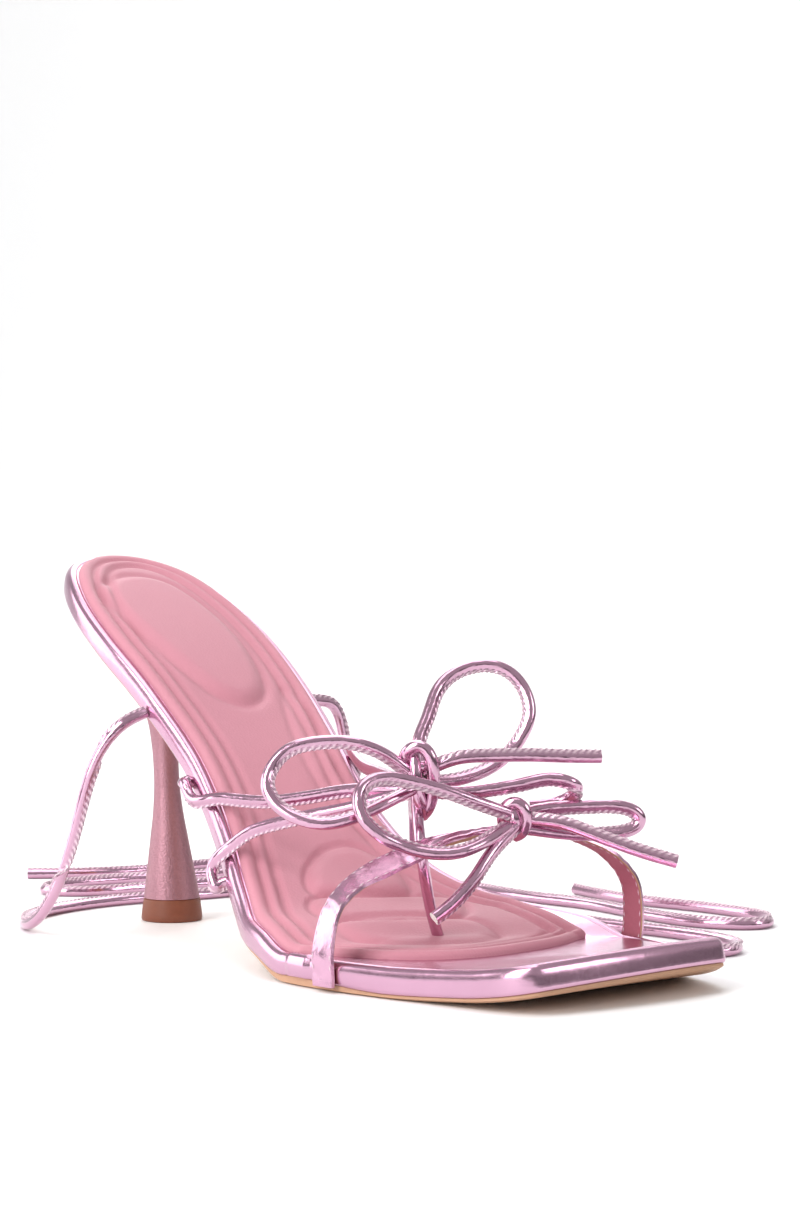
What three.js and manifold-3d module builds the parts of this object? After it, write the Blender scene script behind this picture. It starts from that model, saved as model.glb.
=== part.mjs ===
// Lace-up stiletto sandal, right shoe, standing empty on its heel tip and forefoot.
// Millimetres. +X points to the toe, +Y to the big-toe side, +Z up; the origin is the centre of the
// heel tip on the floor.
import * as THREE from "three";
import { mergeVertices } from "three/addons/utils/BufferGeometryUtils.js";
import Module from "manifold-3d";

const wasm = await Module();
wasm.setup();

// Driving sizes of the last
const SOLE_LENGTH = 218; // heel back to toe front, seen from above
const SEAT_BACK = 34; // heel back behind the heel tip's centre
const SEAT_HEIGHT = 94; // rim's lower edge above the floor at the heel back
const BALL_WIDTH = 82.5; // widest part of the footbed
const HEEL_SKEW = -0.05; // forward shift of the profile per mm across, at the seat
const BALL_SKEW = 0.34; // the same at the ball, whose inner joint lies further forward
const TOE_SKEW = -0.12; // the same at the toe, which lifts more on the big-toe side

// Layers of the bottom
const OUTSOLE_FORE = 2.4; // outsole under the forefoot
const OUTSOLE_WAIST = 1.4; // outsole under the waist and seat
const OUTSOLE_INSET = 0.8; // outsole edge inside the footbed's edge
const BOARD = 4.6; // wrapped footbed at its rim
const RIM_WIDTH = 3.2; // raised rim around the sock
const RIM_RISE = 1.1; // rim above the board that the sock lies on
const TOE_TOP_DROP = 0.25; // toe top below its bead
const SOCK = 2.1; // padded sock at its middle
const SOCK_EDGE = 1.0; // padded sock at its turned edge
const SOCK_CROWN = 0.7; // swell of the heel and ball pads
const SOCK_ROLL = 2.2; // sock's turned edge, seen from above
const GAP = 0.3; // clearance between pieces that meet

// Heel
const TIP_RADIUS = 8.2;
const LIFT_HEIGHT = 6.0;
const HEEL_RADIUS = 7.5; // heel where it meets the lift
const HEEL_LEAN = -6; // backward shift of the heel's axis at the seat
const HEEL_SIDES = 28;
const CUT_MARGIN = 14; // cutter over the heel, past the sole's outline
const CUT_RISE = 60; // cutter's height above the sole

// Straps, cords and bows
const STRAP_WIDTH = 6; // toe strap where it lies flat
const STRAP_THICK = 1.3;
const STRAP_TUCK = 1.1; // strap's ends below the wrapped board
const STRAP_EASE = 0.05; // added to the clearance beside the rim
const CORD = 2.7; // diameter of every round cord
const CORD_SIDES = 8;
const KNOT_HEIGHT = 45; // rear knot's centre above the floor
const TOE_KNOT_HEIGHT = 36.3; // front knot's centre above the floor
const BOW_REACH = 40; // longest reach of a bow from its knot
const KNOT_SETBACK = 5.6; // straps pass this far behind a knot's centre
const THONG_ROOT = 0.9; // thong's end inside the sock, above the board

// Radii of each knot's lump, in cord diameters: along the bow's face, across and up
const MEETING_LUMP = [0.78, 0.96, 1.19];
const REAR_KNOT_LUMP = [1.22, 1.56, 2.22];
const FRONT_KNOT_LUMP = [1.26, 1.33, 1.63];
const LUMP_SEGMENTS = 12;

// Side profile of the rim's lower edge: share of the sole's length, share of the seat's height
const PROFILE = [
  { along: -0.03, height: 1.005 },
  { along: 0.064, height: 0.92 },
  { along: 0.156, height: 0.8 },
  { along: 0.248, height: 0.66 },
  { along: 0.362, height: 0.457 },
  { along: 0.477, height: 0.239 },
  { along: 0.546, height: 0.136 },
  { along: 0.615, height: 0.0655 },
  { along: 0.674, height: 0.0365 },
  { along: 0.734, height: 0 },
  { along: 0.844, height: 0 },
  { along: 0.908, height: 0.012 },
  { along: 0.963, height: 0.0355 },
  { along: 1.03, height: 0.08 },
];

// Outline of the footbed from above: shares of the sole's length, and of the ball's width from the axis
const OUTLINE = [
  { outerAlong: 0.0115, outer: -0.127, innerAlong: 0.0115, inner: 0.115 },
  { outerAlong: 0.05, outer: -0.243, innerAlong: 0.05, inner: 0.22 },
  { outerAlong: 0.119, outer: -0.324, innerAlong: 0.119, inner: 0.292 },
  { outerAlong: 0.202, outer: -0.348, innerAlong: 0.202, inner: 0.318 },
  { outerAlong: 0.284, outer: -0.327, innerAlong: 0.284, inner: 0.306 },
  { outerAlong: 0.367, outer: -0.303, innerAlong: 0.367, inner: 0.27 },
  { outerAlong: 0.44, outer: -0.327, innerAlong: 0.44, inner: 0.236 },
  { outerAlong: 0.514, outer: -0.395, innerAlong: 0.514, inner: 0.233 },
  { outerAlong: 0.587, outer: -0.472, innerAlong: 0.578, inner: 0.268 },
  { outerAlong: 0.66, outer: -0.507, innerAlong: 0.633, inner: 0.343 },
  { outerAlong: 0.734, outer: -0.499, innerAlong: 0.679, inner: 0.43 },
  { outerAlong: 0.812, outer: -0.458, innerAlong: 0.73, inner: 0.486 },
  { outerAlong: 0.87, outer: -0.42, innerAlong: 0.8, inner: 0.503 },
  { outerAlong: 0.925, outer: -0.384, innerAlong: 0.88, inner: 0.479 },
  { outerAlong: 0.972, outer: -0.35, innerAlong: 0.954, inner: 0.42 },
  { outerAlong: 0.992, outer: -0.312, innerAlong: 0.984, inner: 0.365 },
];
const TOE_BULGE = 0.012; // toe edge in front of its corners, share of the sole's length

// Row of the outline where the sock's sides end, and its rounded front, shares as above
const SOCK_ROWS = 10.4;
const SOCK_FRONT = [
  { along: 0.724, across: -0.41 },
  { along: 0.776, across: -0.33 },
  { along: 0.806, across: -0.22 },
  { along: 0.816, across: -0.09 },
  { along: 0.809, across: 0.08 },
  { along: 0.792, across: 0.24 },
  { along: 0.762, across: 0.38 },
];

// Swells of the sock: centre and half size, shares of the sole's length along and the ball's width across
const HEEL_PAD = { along: 0.2, across: -0.024, halfLength: 0.124, halfWidth: 0.218 };
const BALL_PAD = { along: 0.62, across: -0.036, halfLength: 0.1376, halfWidth: 0.315 };
const PAD_CROWN = 0.35; // share of a pad that has its full swell

const ROW_STEPS = 2; // mesh rows for each row of the outline
const ACROSS_STEPS = 6; // mesh columns across a layer
const FRONT_ROWS = 3; // mesh rows round the sock's front

const smooth = (t) => {
  const c = Math.min(Math.max(t, 0), 1);
  return c * c * (3 - 2 * c);
};
const alongX = (share) => share * SOLE_LENGTH - SEAT_BACK;
const shareOf = (x) => (x + SEAT_BACK) / SOLE_LENGTH;

// Monotone cubic through the profile's rows, which keeps the forefoot's flat spot flat
function profileSlopes(rows) {
  const step = rows.slice(1).map((r, i) => (r.height - rows[i].height) / (r.along - rows[i].along));
  return rows.map((_, i) => {
    if (i === 0) return step[0];
    if (i === rows.length - 1) return step[i - 1];
    const [a, b] = [step[i - 1], step[i]];
    return a * b <= 0 ? 0 : (2 * a * b) / (a + b);
  });
}
const SLOPES = profileSlopes(PROFILE);

function profileAt(share) {
  let i = PROFILE.findIndex((r, k) => k > 0 && share < r.along) - 1;
  if (i < 0) i = share < PROFILE[0].along ? 0 : PROFILE.length - 2;
  const [a, b] = [PROFILE[i], PROFILE[i + 1]];
  const width = b.along - a.along;
  const t = (share - a.along) / width;
  const t2 = t * t;
  const t3 = t2 * t;
  return (
    (2 * t3 - 3 * t2 + 1) * a.height +
    (t3 - 2 * t2 + t) * width * SLOPES[i] +
    (3 * t2 - 2 * t3) * b.height +
    (t3 - t2) * width * SLOPES[i + 1]
  );
}

const skewAt = (share) =>
  HEEL_SKEW +
  (BALL_SKEW - HEEL_SKEW) * smooth((share - 0.225) / 0.39) +
  (TOE_SKEW - BALL_SKEW) * smooth((share - 0.73) / 0.275);

// Height of the rim's lower edge, which is the outsole's upper face, at a place on the plan
function baseHeight(x, y) {
  const share = shareOf(x);
  return OUTSOLE_FORE + SEAT_HEIGHT * profileAt(share - (skewAt(share) * y) / SOLE_LENGTH);
}

// Point at a lift along the normal of that face
function lifted(x, y, lift) {
  const d = 0.5;
  const sx = (baseHeight(x + d, y) - baseHeight(x - d, y)) / (2 * d);
  const sy = (baseHeight(x, y + d) - baseHeight(x, y - d)) / (2 * d);
  const normal = new THREE.Vector3(-sx, -sy, 1).normalize();
  return new THREE.Vector3(x, y, baseHeight(x, y)).addScaledVector(normal, lift);
}

const outsoleThickness = (x) =>
  OUTSOLE_WAIST + (OUTSOLE_FORE - OUTSOLE_WAIST) * smooth((shareOf(x) - 0.5) / 0.17);

// One curve from the outer front corner round the heel to the inner front corner
const sideCurve = new THREE.CatmullRomCurve3(
  [
    ...[...OUTLINE]
      .reverse()
      .map((r) => new THREE.Vector3(alongX(r.outerAlong), r.outer * BALL_WIDTH, 0)),
    new THREE.Vector3(alongX(0), 0, 0),
    ...OUTLINE.map((r) => new THREE.Vector3(alongX(r.innerAlong), r.inner * BALL_WIDTH, 0)),
  ],
  false,
  "centripetal",
);

// Point of one side at a fractional row of the outline; side is -1 outer, +1 inner
function sidePoint(side, row) {
  const total = 2 * OUTLINE.length;
  return sideCurve.getPoint((OUTLINE.length + side * row) / total);
}

// Outline point and outward normal of one side at a given x in front of the seat
function edgeAt(side, x) {
  let low = 1;
  let high = OUTLINE.length;
  for (let i = 0; i < 40; i++) {
    const mid = (low + high) / 2;
    if (sidePoint(side, mid).x < x) low = mid;
    else high = mid;
  }
  const p = sidePoint(side, low);
  const t = sidePoint(side, low + 0.02).sub(sidePoint(side, low - 0.02));
  const out = new THREE.Vector3(-t.y, t.x, 0).normalize();
  return { point: p, out: out.multiplyScalar(Math.sign(out.y) * side) };
}

// Loop of plan points: outer front, round the heel, inner front, then back along the front edge
function planLoop(rows, front) {
  const steps = Math.round(rows * ROW_STEPS);
  const side = Array.from({ length: 2 * steps + 1 }, (_, i) =>
    sidePoint(i < steps ? -1 : 1, (Math.abs(steps - i) / steps) * rows),
  );
  return { points: [...side, ...front], steps };
}

function bulgedFront(bulge) {
  const a = sidePoint(1, OUTLINE.length);
  const b = sidePoint(-1, OUTLINE.length);
  return Array.from({ length: ACROSS_STEPS - 1 }, (_, i) => {
    const t = (i + 1) / ACROSS_STEPS;
    const p = a.clone().lerp(b, t);
    p.x += 4 * t * (1 - t) * bulge;
    return p;
  });
}

// Points of the sock's rounded front, inner side to outer
function sockFront(count) {
  const curve = new THREE.CatmullRomCurve3(
    [...SOCK_FRONT]
      .reverse()
      .map((r) => new THREE.Vector3(alongX(r.along), r.across * BALL_WIDTH, 0)),
    false,
    "centripetal",
  );
  return Array.from({ length: count }, (_, i) => curve.getPoint(i / (count - 1)));
}

// Moves a loop inwards on the plan
function insetLoop(points, inset) {
  const n = points.length;
  return points.map((p, i) => {
    const t = points[(i + 1) % n].clone().sub(points[(i + n - 1) % n]).normalize();
    return new THREE.Vector3(p.x + t.y * inset, p.y - t.x * inset, 0);
  });
}

// Closed layer of the bottom: rings {inset, lift(x, y)} from the lower face round the edge to the upper
function layer(loop, rings, swell = () => 0) {
  const K = ACROSS_STEPS;
  const N = loop.steps;
  const M = loop.points.length;
  const vertices = [];
  const faces = [];
  const add = (p) => vertices.push(p.x, p.y, p.z) / 3 - 1;
  const ringPlans = rings.map((r) => insetLoop(loop.points, r.inset));
  const ids = rings.map((r, j) => ringPlans[j].map((p) => add(lifted(p.x, p.y, r.lift(p.x, p.y)))));
  for (let j = 0; j + 1 < rings.length; j++) {
    for (let i = 0; i < M; i++) {
      const k = (i + 1) % M;
      faces.push(ids[j][i], ids[j + 1][i], ids[j + 1][k]);
      faces.push(ids[j][i], ids[j + 1][k], ids[j][k]);
    }
  }
  const ladder = (j, up) => {
    const ring = rings[j];
    const rung = (r, k) => {
      if (r === 0) return ids[j][N];
      if (k === 0) return ids[j][N - r];
      if (k === K) return ids[j][N + r];
      if (r === N) return ids[j][2 * N + (K - k)];
      return grid[r][k];
    };
    const grid = Array.from({ length: N }, (_, r) =>
      Array.from({ length: K }, (_, k) => {
        if (r === 0 || k === 0) return -1;
        const a = ringPlans[j][N - r];
        const b = ringPlans[j][N + r];
        const p = a.clone().lerp(b, k / K);
        const lift = ring.lift(p.x, p.y) + (up ? swell(p.x, p.y) : 0);
        return add(lifted(p.x, p.y, lift));
      }),
    );
    for (let r = 0; r < N; r++) {
      for (let k = 0; k < K; k++) {
        const quad = [rung(r, k), rung(r + 1, k), rung(r + 1, k + 1), rung(r, k + 1)];
        for (const [a, b, c] of [
          [quad[0], quad[1], quad[2]],
          [quad[0], quad[2], quad[3]],
        ]) {
          if (new Set([a, b, c]).size < 3) continue;
          faces.push(...(up ? [a, b, c] : [a, c, b]));
        }
      }
    }
  };
  ladder(0, false);
  ladder(rings.length - 1, true);
  return toGeometry(vertices, faces);
}

function toGeometry(vertices, faces) {
  return new THREE.BufferGeometry()
    .setAttribute("position", new THREE.BufferAttribute(new Float32Array(vertices), 3))
    .setIndex(faces);
}

// Closed skin over rings of equally many points, each end closed to its middle
function loft(rings) {
  const n = rings[0].length;
  const vertices = rings.flat().flatMap((p) => [p.x, p.y, p.z]);
  const faces = [];
  for (let j = 0; j + 1 < rings.length; j++) {
    for (let i = 0; i < n; i++) {
      const k = (i + 1) % n;
      faces.push(j * n + i, j * n + k, (j + 1) * n + k);
      faces.push(j * n + i, (j + 1) * n + k, (j + 1) * n + i);
    }
  }
  for (const [ring, start, flip] of [
    [rings[0], 0, true],
    [rings.at(-1), (rings.length - 1) * n, false],
  ]) {
    const c = ring.reduce((s, p) => s.add(p), new THREE.Vector3()).divideScalar(n);
    const id = vertices.push(c.x, c.y, c.z) / 3 - 1;
    for (let i = 0; i < n; i++) {
      const k = (i + 1) % n;
      faces.push(...(flip ? [id, start + k, start + i] : [id, start + i, start + k]));
    }
  }
  return toGeometry(vertices, faces);
}

// Round cord through hand-placed points, a step every two to three diameters
function cordGeometry(points, steps, diameter = CORD) {
  const section = new THREE.Shape(
    Array.from({ length: CORD_SIDES }, (_, i) => {
      const a = (2 * Math.PI * i) / CORD_SIDES;
      return new THREE.Vector2(Math.cos(a), Math.sin(a)).multiplyScalar(diameter / 2);
    }),
  );
  const path = new THREE.CatmullRomCurve3(points, false, "centripetal");
  return new THREE.ExtrudeGeometry(section, { steps, extrudePath: path, bevelEnabled: false });
}

const cordSteps = (points) => {
  const length = new THREE.CatmullRomCurve3(points, false, "centripetal").getLength();
  return Math.max(3, Math.round(length / (2.2 * CORD)));
};

function toSolid(geometry) {
  const g = geometry.clone();
  g.deleteAttribute("normal");
  g.deleteAttribute("uv");
  const merged = mergeVertices(g, 1e-4);
  return new wasm.Manifold(
    new wasm.Mesh({
      numProp: 3,
      vertProperties: merged.attributes.position.array,
      triVerts: new Uint32Array(merged.index.array),
    }),
  );
}

function fromSolid(solid) {
  const mesh = solid.getMesh();
  return toGeometry(mesh.vertProperties, [...mesh.triVerts]);
}

const joined = (geometries) => geometries.map(toSolid).reduce((a, b) => a.add(b));

function piece(name, geometry, color, roughness, metalness) {
  const flat = geometry.index ? geometry.toNonIndexed() : geometry;
  flat.computeVertexNormals();
  const mesh = new THREE.Mesh(flat, new THREE.MeshStandardMaterial({ color, roughness, metalness }));
  mesh.name = name;
  return mesh;
}

const FOIL = [0xd88ab4, 0.16, 1];
const ROSE = [0xd28d9f, 0.75, 0];
const SATIN = [0xb68a99, 0.42, 0.35];
const BROWN = [0x7d4a32, 0.5, 0];
const TAN = [0xc69a7c, 0.6, 0];

// Outsole: thin under the waist, flat on the floor under the forefoot
function outsole() {
  const loop = planLoop(OUTLINE.length, bulgedFront(TOE_BULGE * SOLE_LENGTH));
  return layer(loop, [
    { inset: OUTSOLE_INSET + 1.2, lift: (x) => -outsoleThickness(x) },
    { inset: OUTSOLE_INSET, lift: (x) => -outsoleThickness(x) * 0.72 },
    { inset: OUTSOLE_INSET, lift: () => -GAP },
  ]);
}

// Sock's outline inside the rim, moved outwards by a margin; its rows run on round the front
function sockLoop(margin = 0) {
  const front = sockFront(2 * FRONT_ROWS + ACROSS_STEPS - 1);
  const loop = planLoop(SOCK_ROWS, front);
  const sides = insetLoop(loop.points, RIM_WIDTH).slice(0, 2 * loop.steps + 1);
  const points = [...front.slice(-FRONT_ROWS), ...sides, ...front.slice(0, -FRONT_ROWS)];
  return { points: insetLoop(points, -margin), steps: loop.steps + FRONT_ROWS };
}

// Footbed: wrapped board with a rounded edge and toe top, and a pocket inside the rim for the sock
function footbed() {
  const loop = planLoop(OUTLINE.length, bulgedFront(TOE_BULGE * SOLE_LENGTH));
  const board = layer(loop, [
    { inset: OUTSOLE_INSET, lift: () => 0 },
    { inset: 0.15, lift: () => 0.7 },
    { inset: 0, lift: () => BOARD * 0.5 },
    { inset: 0.5, lift: () => BOARD * 0.85 },
    { inset: 1.6, lift: () => BOARD },
    { inset: RIM_WIDTH, lift: () => BOARD - TOE_TOP_DROP },
  ]);
  const pocket = layer(sockLoop(GAP), [
    { inset: 0, lift: () => BOARD - RIM_RISE },
    { inset: 0, lift: () => BOARD + 2 * SOCK },
  ]);
  return fromSolid(toSolid(board).subtract(toSolid(pocket)));
}

// Sock: padded, swollen at the heel and the ball, lying in the footbed's pocket; proud makes it thicker
function sock(proud = 0) {
  const seat = BOARD - RIM_RISE + GAP;
  const swell = (pad, x, y) => {
    const u = (shareOf(x) - pad.along) / pad.halfLength;
    const v = (y / BALL_WIDTH - pad.across) / pad.halfWidth;
    return 1 - smooth(Math.hypot(u, v) - PAD_CROWN);
  };
  return layer(
    sockLoop(),
    [
      { inset: 0, lift: () => seat },
      { inset: 0.1, lift: () => seat + SOCK_EDGE + proud },
      { inset: SOCK_ROLL, lift: () => seat + SOCK + proud },
    ],
    (x, y) => SOCK_CROWN * Math.max(swell(HEEL_PAD, x, y), swell(BALL_PAD, x, y)),
  );
}

// Everything above a lift over the bottom, used to cut the heel to the sole's underside
function aboveSole() {
  const loop = planLoop(OUTLINE.length, bulgedFront(TOE_BULGE * SOLE_LENGTH));
  const underside = (x) => -outsoleThickness(x) - GAP;
  return layer(loop, [
    { inset: -CUT_MARGIN, lift: underside },
    { inset: -CUT_MARGIN, lift: () => CUT_RISE },
  ]);
}

// Heel sections: share of the height to the seat, radius along and across as shares of HEEL_RADIUS
const HEEL_SECTIONS = [
  { height: 0, along: 1, across: 1 },
  { height: 0.06, along: 0.92, across: 0.92 },
  { height: 0.14, along: 0.8, across: 0.8 },
  { height: 0.23, along: 0.67, across: 0.67 },
  { height: 0.32, along: 0.545, across: 0.545 },
  { height: 0.42, along: 0.465, across: 0.465 },
  { height: 0.52, along: 0.46, across: 0.46 },
  { height: 0.62, along: 0.54, across: 0.53 },
  { height: 0.71, along: 0.74, across: 0.7 },
  { height: 0.79, along: 1.05, across: 0.98 },
  { height: 0.87, along: 1.5, across: 1.4 },
  { height: 0.95, along: 2.05, across: 1.9 },
  { height: 1.04, along: 2.5, across: 2.35 },
  { height: 1.25, along: 2.7, across: 2.5 },
];

function heelRing(x, y, z, rx, ry) {
  return Array.from({ length: HEEL_SIDES }, (_, i) => {
    const a = (2 * Math.PI * i) / HEEL_SIDES;
    return new THREE.Vector3(x + rx * Math.cos(a), y + ry * Math.sin(a), z);
  });
}

function heel() {
  const seat = baseHeight(0, 0) - LIFT_HEIGHT;
  const rings = HEEL_SECTIONS.map((s) =>
    heelRing(
      HEEL_LEAN * Math.min(s.height, 1),
      0,
      LIFT_HEIGHT + GAP + s.height * seat,
      s.along * HEEL_RADIUS,
      s.across * HEEL_RADIUS,
    ),
  );
  return fromSolid(toSolid(loft(rings)).subtract(toSolid(aboveSole())));
}

function topLift() {
  return loft([
    heelRing(0, 0, 0, TIP_RADIUS - 0.3, TIP_RADIUS - 0.3),
    heelRing(0, 0, 0.4, TIP_RADIUS, TIP_RADIUS),
    heelRing(0, 0, LIFT_HEIGHT, HEEL_RADIUS + 0.1, HEEL_RADIUS + 0.1),
  ]);
}

// Knots' centres, seen from the toe: the rear one over the instep, the front one over the toe strap
const rearKnot = new THREE.Vector3(alongX(0.711), -0.115 * BALL_WIDTH, KNOT_HEIGHT);
const frontKnot = new THREE.Vector3(alongX(0.768), 0.107 * BALL_WIDTH, TOE_KNOT_HEIGHT);
const BOW_FACE = new THREE.Vector3(0.75, -0.45, 0.48).normalize(); // the way both bows face
const behind = (knot) => knot.clone().addScaledVector(BOW_FACE, -KNOT_SETBACK);

// Point of a strap or cord beside the rim: over the edge by a clearance, at a lift up the side
function beside(side, share, lift, clearance) {
  const { point, out } = edgeAt(side, alongX(share));
  const p = point.clone().addScaledVector(out, clearance);
  return lifted(p.x, p.y, lift);
}

// Cord from the seam under the rim over the foot to a meeting point, through its table of places
function instepCord(side, seam, rows, meeting) {
  const points = [
    beside(side, seam, -CORD * 0.6, (CORD / 2 + GAP) * 0.9),
    ...rows.map((r) => new THREE.Vector3(alongX(r.along), r.across * BALL_WIDTH, r.height * KNOT_HEIGHT)),
    meeting,
  ];
  return cordGeometry(points, cordSteps(points));
}

// Instep cords: share of the sole's length, of the ball's width from the axis, of the knot's height
const REAR_OUTER_CORD = [
  { along: 0.3805, across: -0.329, height: 0.913 },
  { along: 0.389, across: -0.332, height: 0.856 },
  { along: 0.407, across: -0.336, height: 0.816 },
  { along: 0.424, across: -0.33, height: 0.828 },
  { along: 0.438, across: -0.309, height: 0.845 },
  { along: 0.4705, across: -0.287, height: 0.842 },
  { along: 0.509, across: -0.26, height: 0.843 },
  { along: 0.563, across: -0.216, height: 0.88 },
  { along: 0.613, across: -0.17, height: 0.925 },
  { along: 0.657, across: -0.124, height: 0.936 },
];
const MID_OUTER_CORD = [
  { along: 0.481, across: -0.385, height: 0.371 },
  { along: 0.471, across: -0.387, height: 0.425 },
  { along: 0.465, across: -0.379, height: 0.48 },
  { along: 0.4745, across: -0.376, height: 0.54 },
  { along: 0.486, across: -0.352, height: 0.598 },
  { along: 0.512, across: -0.322, height: 0.69 },
  { along: 0.553, across: -0.278, height: 0.753 },
  { along: 0.589, across: -0.236, height: 0.797 },
  { along: 0.6225, across: -0.191, height: 0.835 },
  { along: 0.6565, across: -0.1415, height: 0.887 },
];
const REAR_INNER_CORD = [
  { along: 0.396, across: 0.282, height: 0.9 },
  { along: 0.4, across: 0.271, height: 1.02 },
  { along: 0.4097, across: 0.232, height: 1.075 },
  { along: 0.4406, across: 0.184, height: 1.045 },
  { along: 0.494, across: 0.118, height: 1.0 },
  { along: 0.556, across: 0.057, height: 0.985 },
  { along: 0.633, across: -0.023, height: 0.97 },
];
const MID_INNER_CORD = [
  { along: 0.514, across: 0.268, height: 0.49 },
  { along: 0.518, across: 0.263, height: 0.62 },
  { along: 0.53, across: 0.236, height: 0.73 },
  { along: 0.56, across: 0.172, height: 0.8 },
  { along: 0.6, across: 0.093, height: 0.86 },
  { along: 0.65, across: 0, height: 0.91 },
];

// Flat toe strap: along and across shares, height share of the toe knot, width and thickness shares,
// and how far its front edge drops per mm forward
const TOE_STRAP = [
  { along: 0.744, across: -0.475, height: 0.49, width: 1, thick: 1, lean: 0 },
  { along: 0.744, across: -0.41, height: 0.63, width: 1, thick: 1, lean: 0.2 },
  { along: 0.745, across: -0.325, height: 0.715, width: 1, thick: 1.1, lean: 0.5 },
  { along: 0.747, across: -0.215, height: 0.8, width: 0.96, thick: 1.3, lean: 0.58 },
  { along: 0.748, across: -0.11, height: 0.87, width: 0.63, thick: 1.9, lean: 0.35 },
  { along: 0.7475, across: 0.02, height: 0.9, width: 0.5, thick: 2.2, lean: 0 },
  { along: 0.7495, across: 0.13, height: 0.905, width: 0.5, thick: 2.2, lean: 0 },
  { along: 0.758, across: 0.235, height: 0.88, width: 0.57, thick: 2, lean: 0 },
  { along: 0.766, across: 0.345, height: 0.83, width: 0.88, thick: 1.3, lean: 0 },
  { along: 0.774, across: 0.45, height: 0.71, width: 1, thick: 1, lean: 0 },
  { along: 0.779, across: 0.515, height: 0.53, width: 1, thick: 1, lean: 0 },
];

function toeStrap() {
  const off = STRAP_THICK / 2 + GAP;
  const foot = (side, share) => {
    const { out } = edgeAt(side, alongX(share));
    const flat = { width: 1, thick: 1, lean: 0, turn: -out.x / out.y };
    return [
      { at: beside(side, share, -STRAP_TUCK, off + STRAP_EASE), ...flat },
      { at: beside(side, share, BOARD * 0.5, off + STRAP_EASE), ...flat },
      { at: beside(side, share, BOARD * 1.3, off + 3 * STRAP_EASE), ...flat },
    ];
  };
  const middle = TOE_STRAP.map((r) => ({
    turn: 0,
    ...r,
    at: new THREE.Vector3(alongX(r.along), r.across * BALL_WIDTH, r.height * TOE_KNOT_HEIGHT),
  }));
  const rows = [...foot(-1, TOE_STRAP[0].along), ...middle, ...foot(1, TOE_STRAP.at(-1).along).reverse()];
  const path = new THREE.CatmullRomCurve3(rows.map((r) => r.at), false, "centripetal");
  const steps = 2 * (rows.length - 1);
  const rings = Array.from({ length: steps + 1 }, (_, i) => {
    const u = i / steps;
    const row = Math.min(Math.floor(u * (rows.length - 1)), rows.length - 2);
    const f = u * (rows.length - 1) - row;
    const between = (key) => THREE.MathUtils.lerp(rows[row][key], rows[row + 1][key], f);
    return strapRing(
      path.getPoint(u),
      path.getTangent(u),
      between("width") * STRAP_WIDTH,
      between("thick") * STRAP_THICK,
      new THREE.Vector3(1, between("turn"), -between("lean")),
    );
  });
  return loft(rings);
}

// Flat section with softened corners, its width following the given direction
function strapRing(at, tangent, width, thick, direction) {
  const across = direction.clone().addScaledVector(tangent, -direction.dot(tangent)).normalize();
  const normal = tangent.clone().cross(across).normalize();
  const corners = [
    [-0.5, -0.25],
    [-0.42, -0.5],
    [0.42, -0.5],
    [0.5, -0.25],
    [0.5, 0.25],
    [0.42, 0.5],
    [-0.42, 0.5],
    [-0.5, 0.25],
  ];
  return corners.map(([w, t]) =>
    at.clone().addScaledVector(across, w * width).addScaledVector(normal, t * thick),
  );
}

// Thong: up from the sock, touching the toe strap, to the rear knot's back
function thong() {
  const foot = new THREE.Vector3(alongX(0.7175), -0.06 * BALL_WIDTH, 0);
  const points = [
    lifted(foot.x, foot.y, BOARD + THONG_ROOT),
    new THREE.Vector3(alongX(0.7255), -0.105 * BALL_WIDTH, TOE_KNOT_HEIGHT * 0.45),
    new THREE.Vector3(alongX(0.7365), -0.158 * BALL_WIDTH, TOE_KNOT_HEIGHT * 0.8),
    new THREE.Vector3(alongX(0.714), -0.125 * BALL_WIDTH, TOE_KNOT_HEIGHT * 1.02),
    behind(rearKnot),
  ];
  const post = toSolid(cordGeometry(points, cordSteps(points)));
  return fromSolid(post.subtract(toSolid(sock(GAP))));
}

// Soft lump where cords cross or tie
function lump(at, radii) {
  const ball = new THREE.SphereGeometry(CORD, LUMP_SEGMENTS, Math.round(LUMP_SEGMENTS * 0.7));
  ball.scale(...radii);
  const turn = new THREE.Quaternion().setFromUnitVectors(new THREE.Vector3(1, 0, 0), BOW_FACE);
  ball.applyQuaternion(turn);
  return ball.translate(at.x, at.y, at.z);
}

function upper() {
  const meeting = behind(rearKnot);
  return fromSolid(
    joined([
      toeStrap(),
      thong(),
      lump(meeting, MEETING_LUMP),
      instepCord(-1, 0.374, REAR_OUTER_CORD, meeting),
      instepCord(1, 0.394, REAR_INNER_CORD, meeting),
      instepCord(-1, 0.484, MID_OUTER_CORD, meeting),
      instepCord(1, 0.513, MID_INNER_CORD, meeting),
    ]),
  );
}

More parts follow.
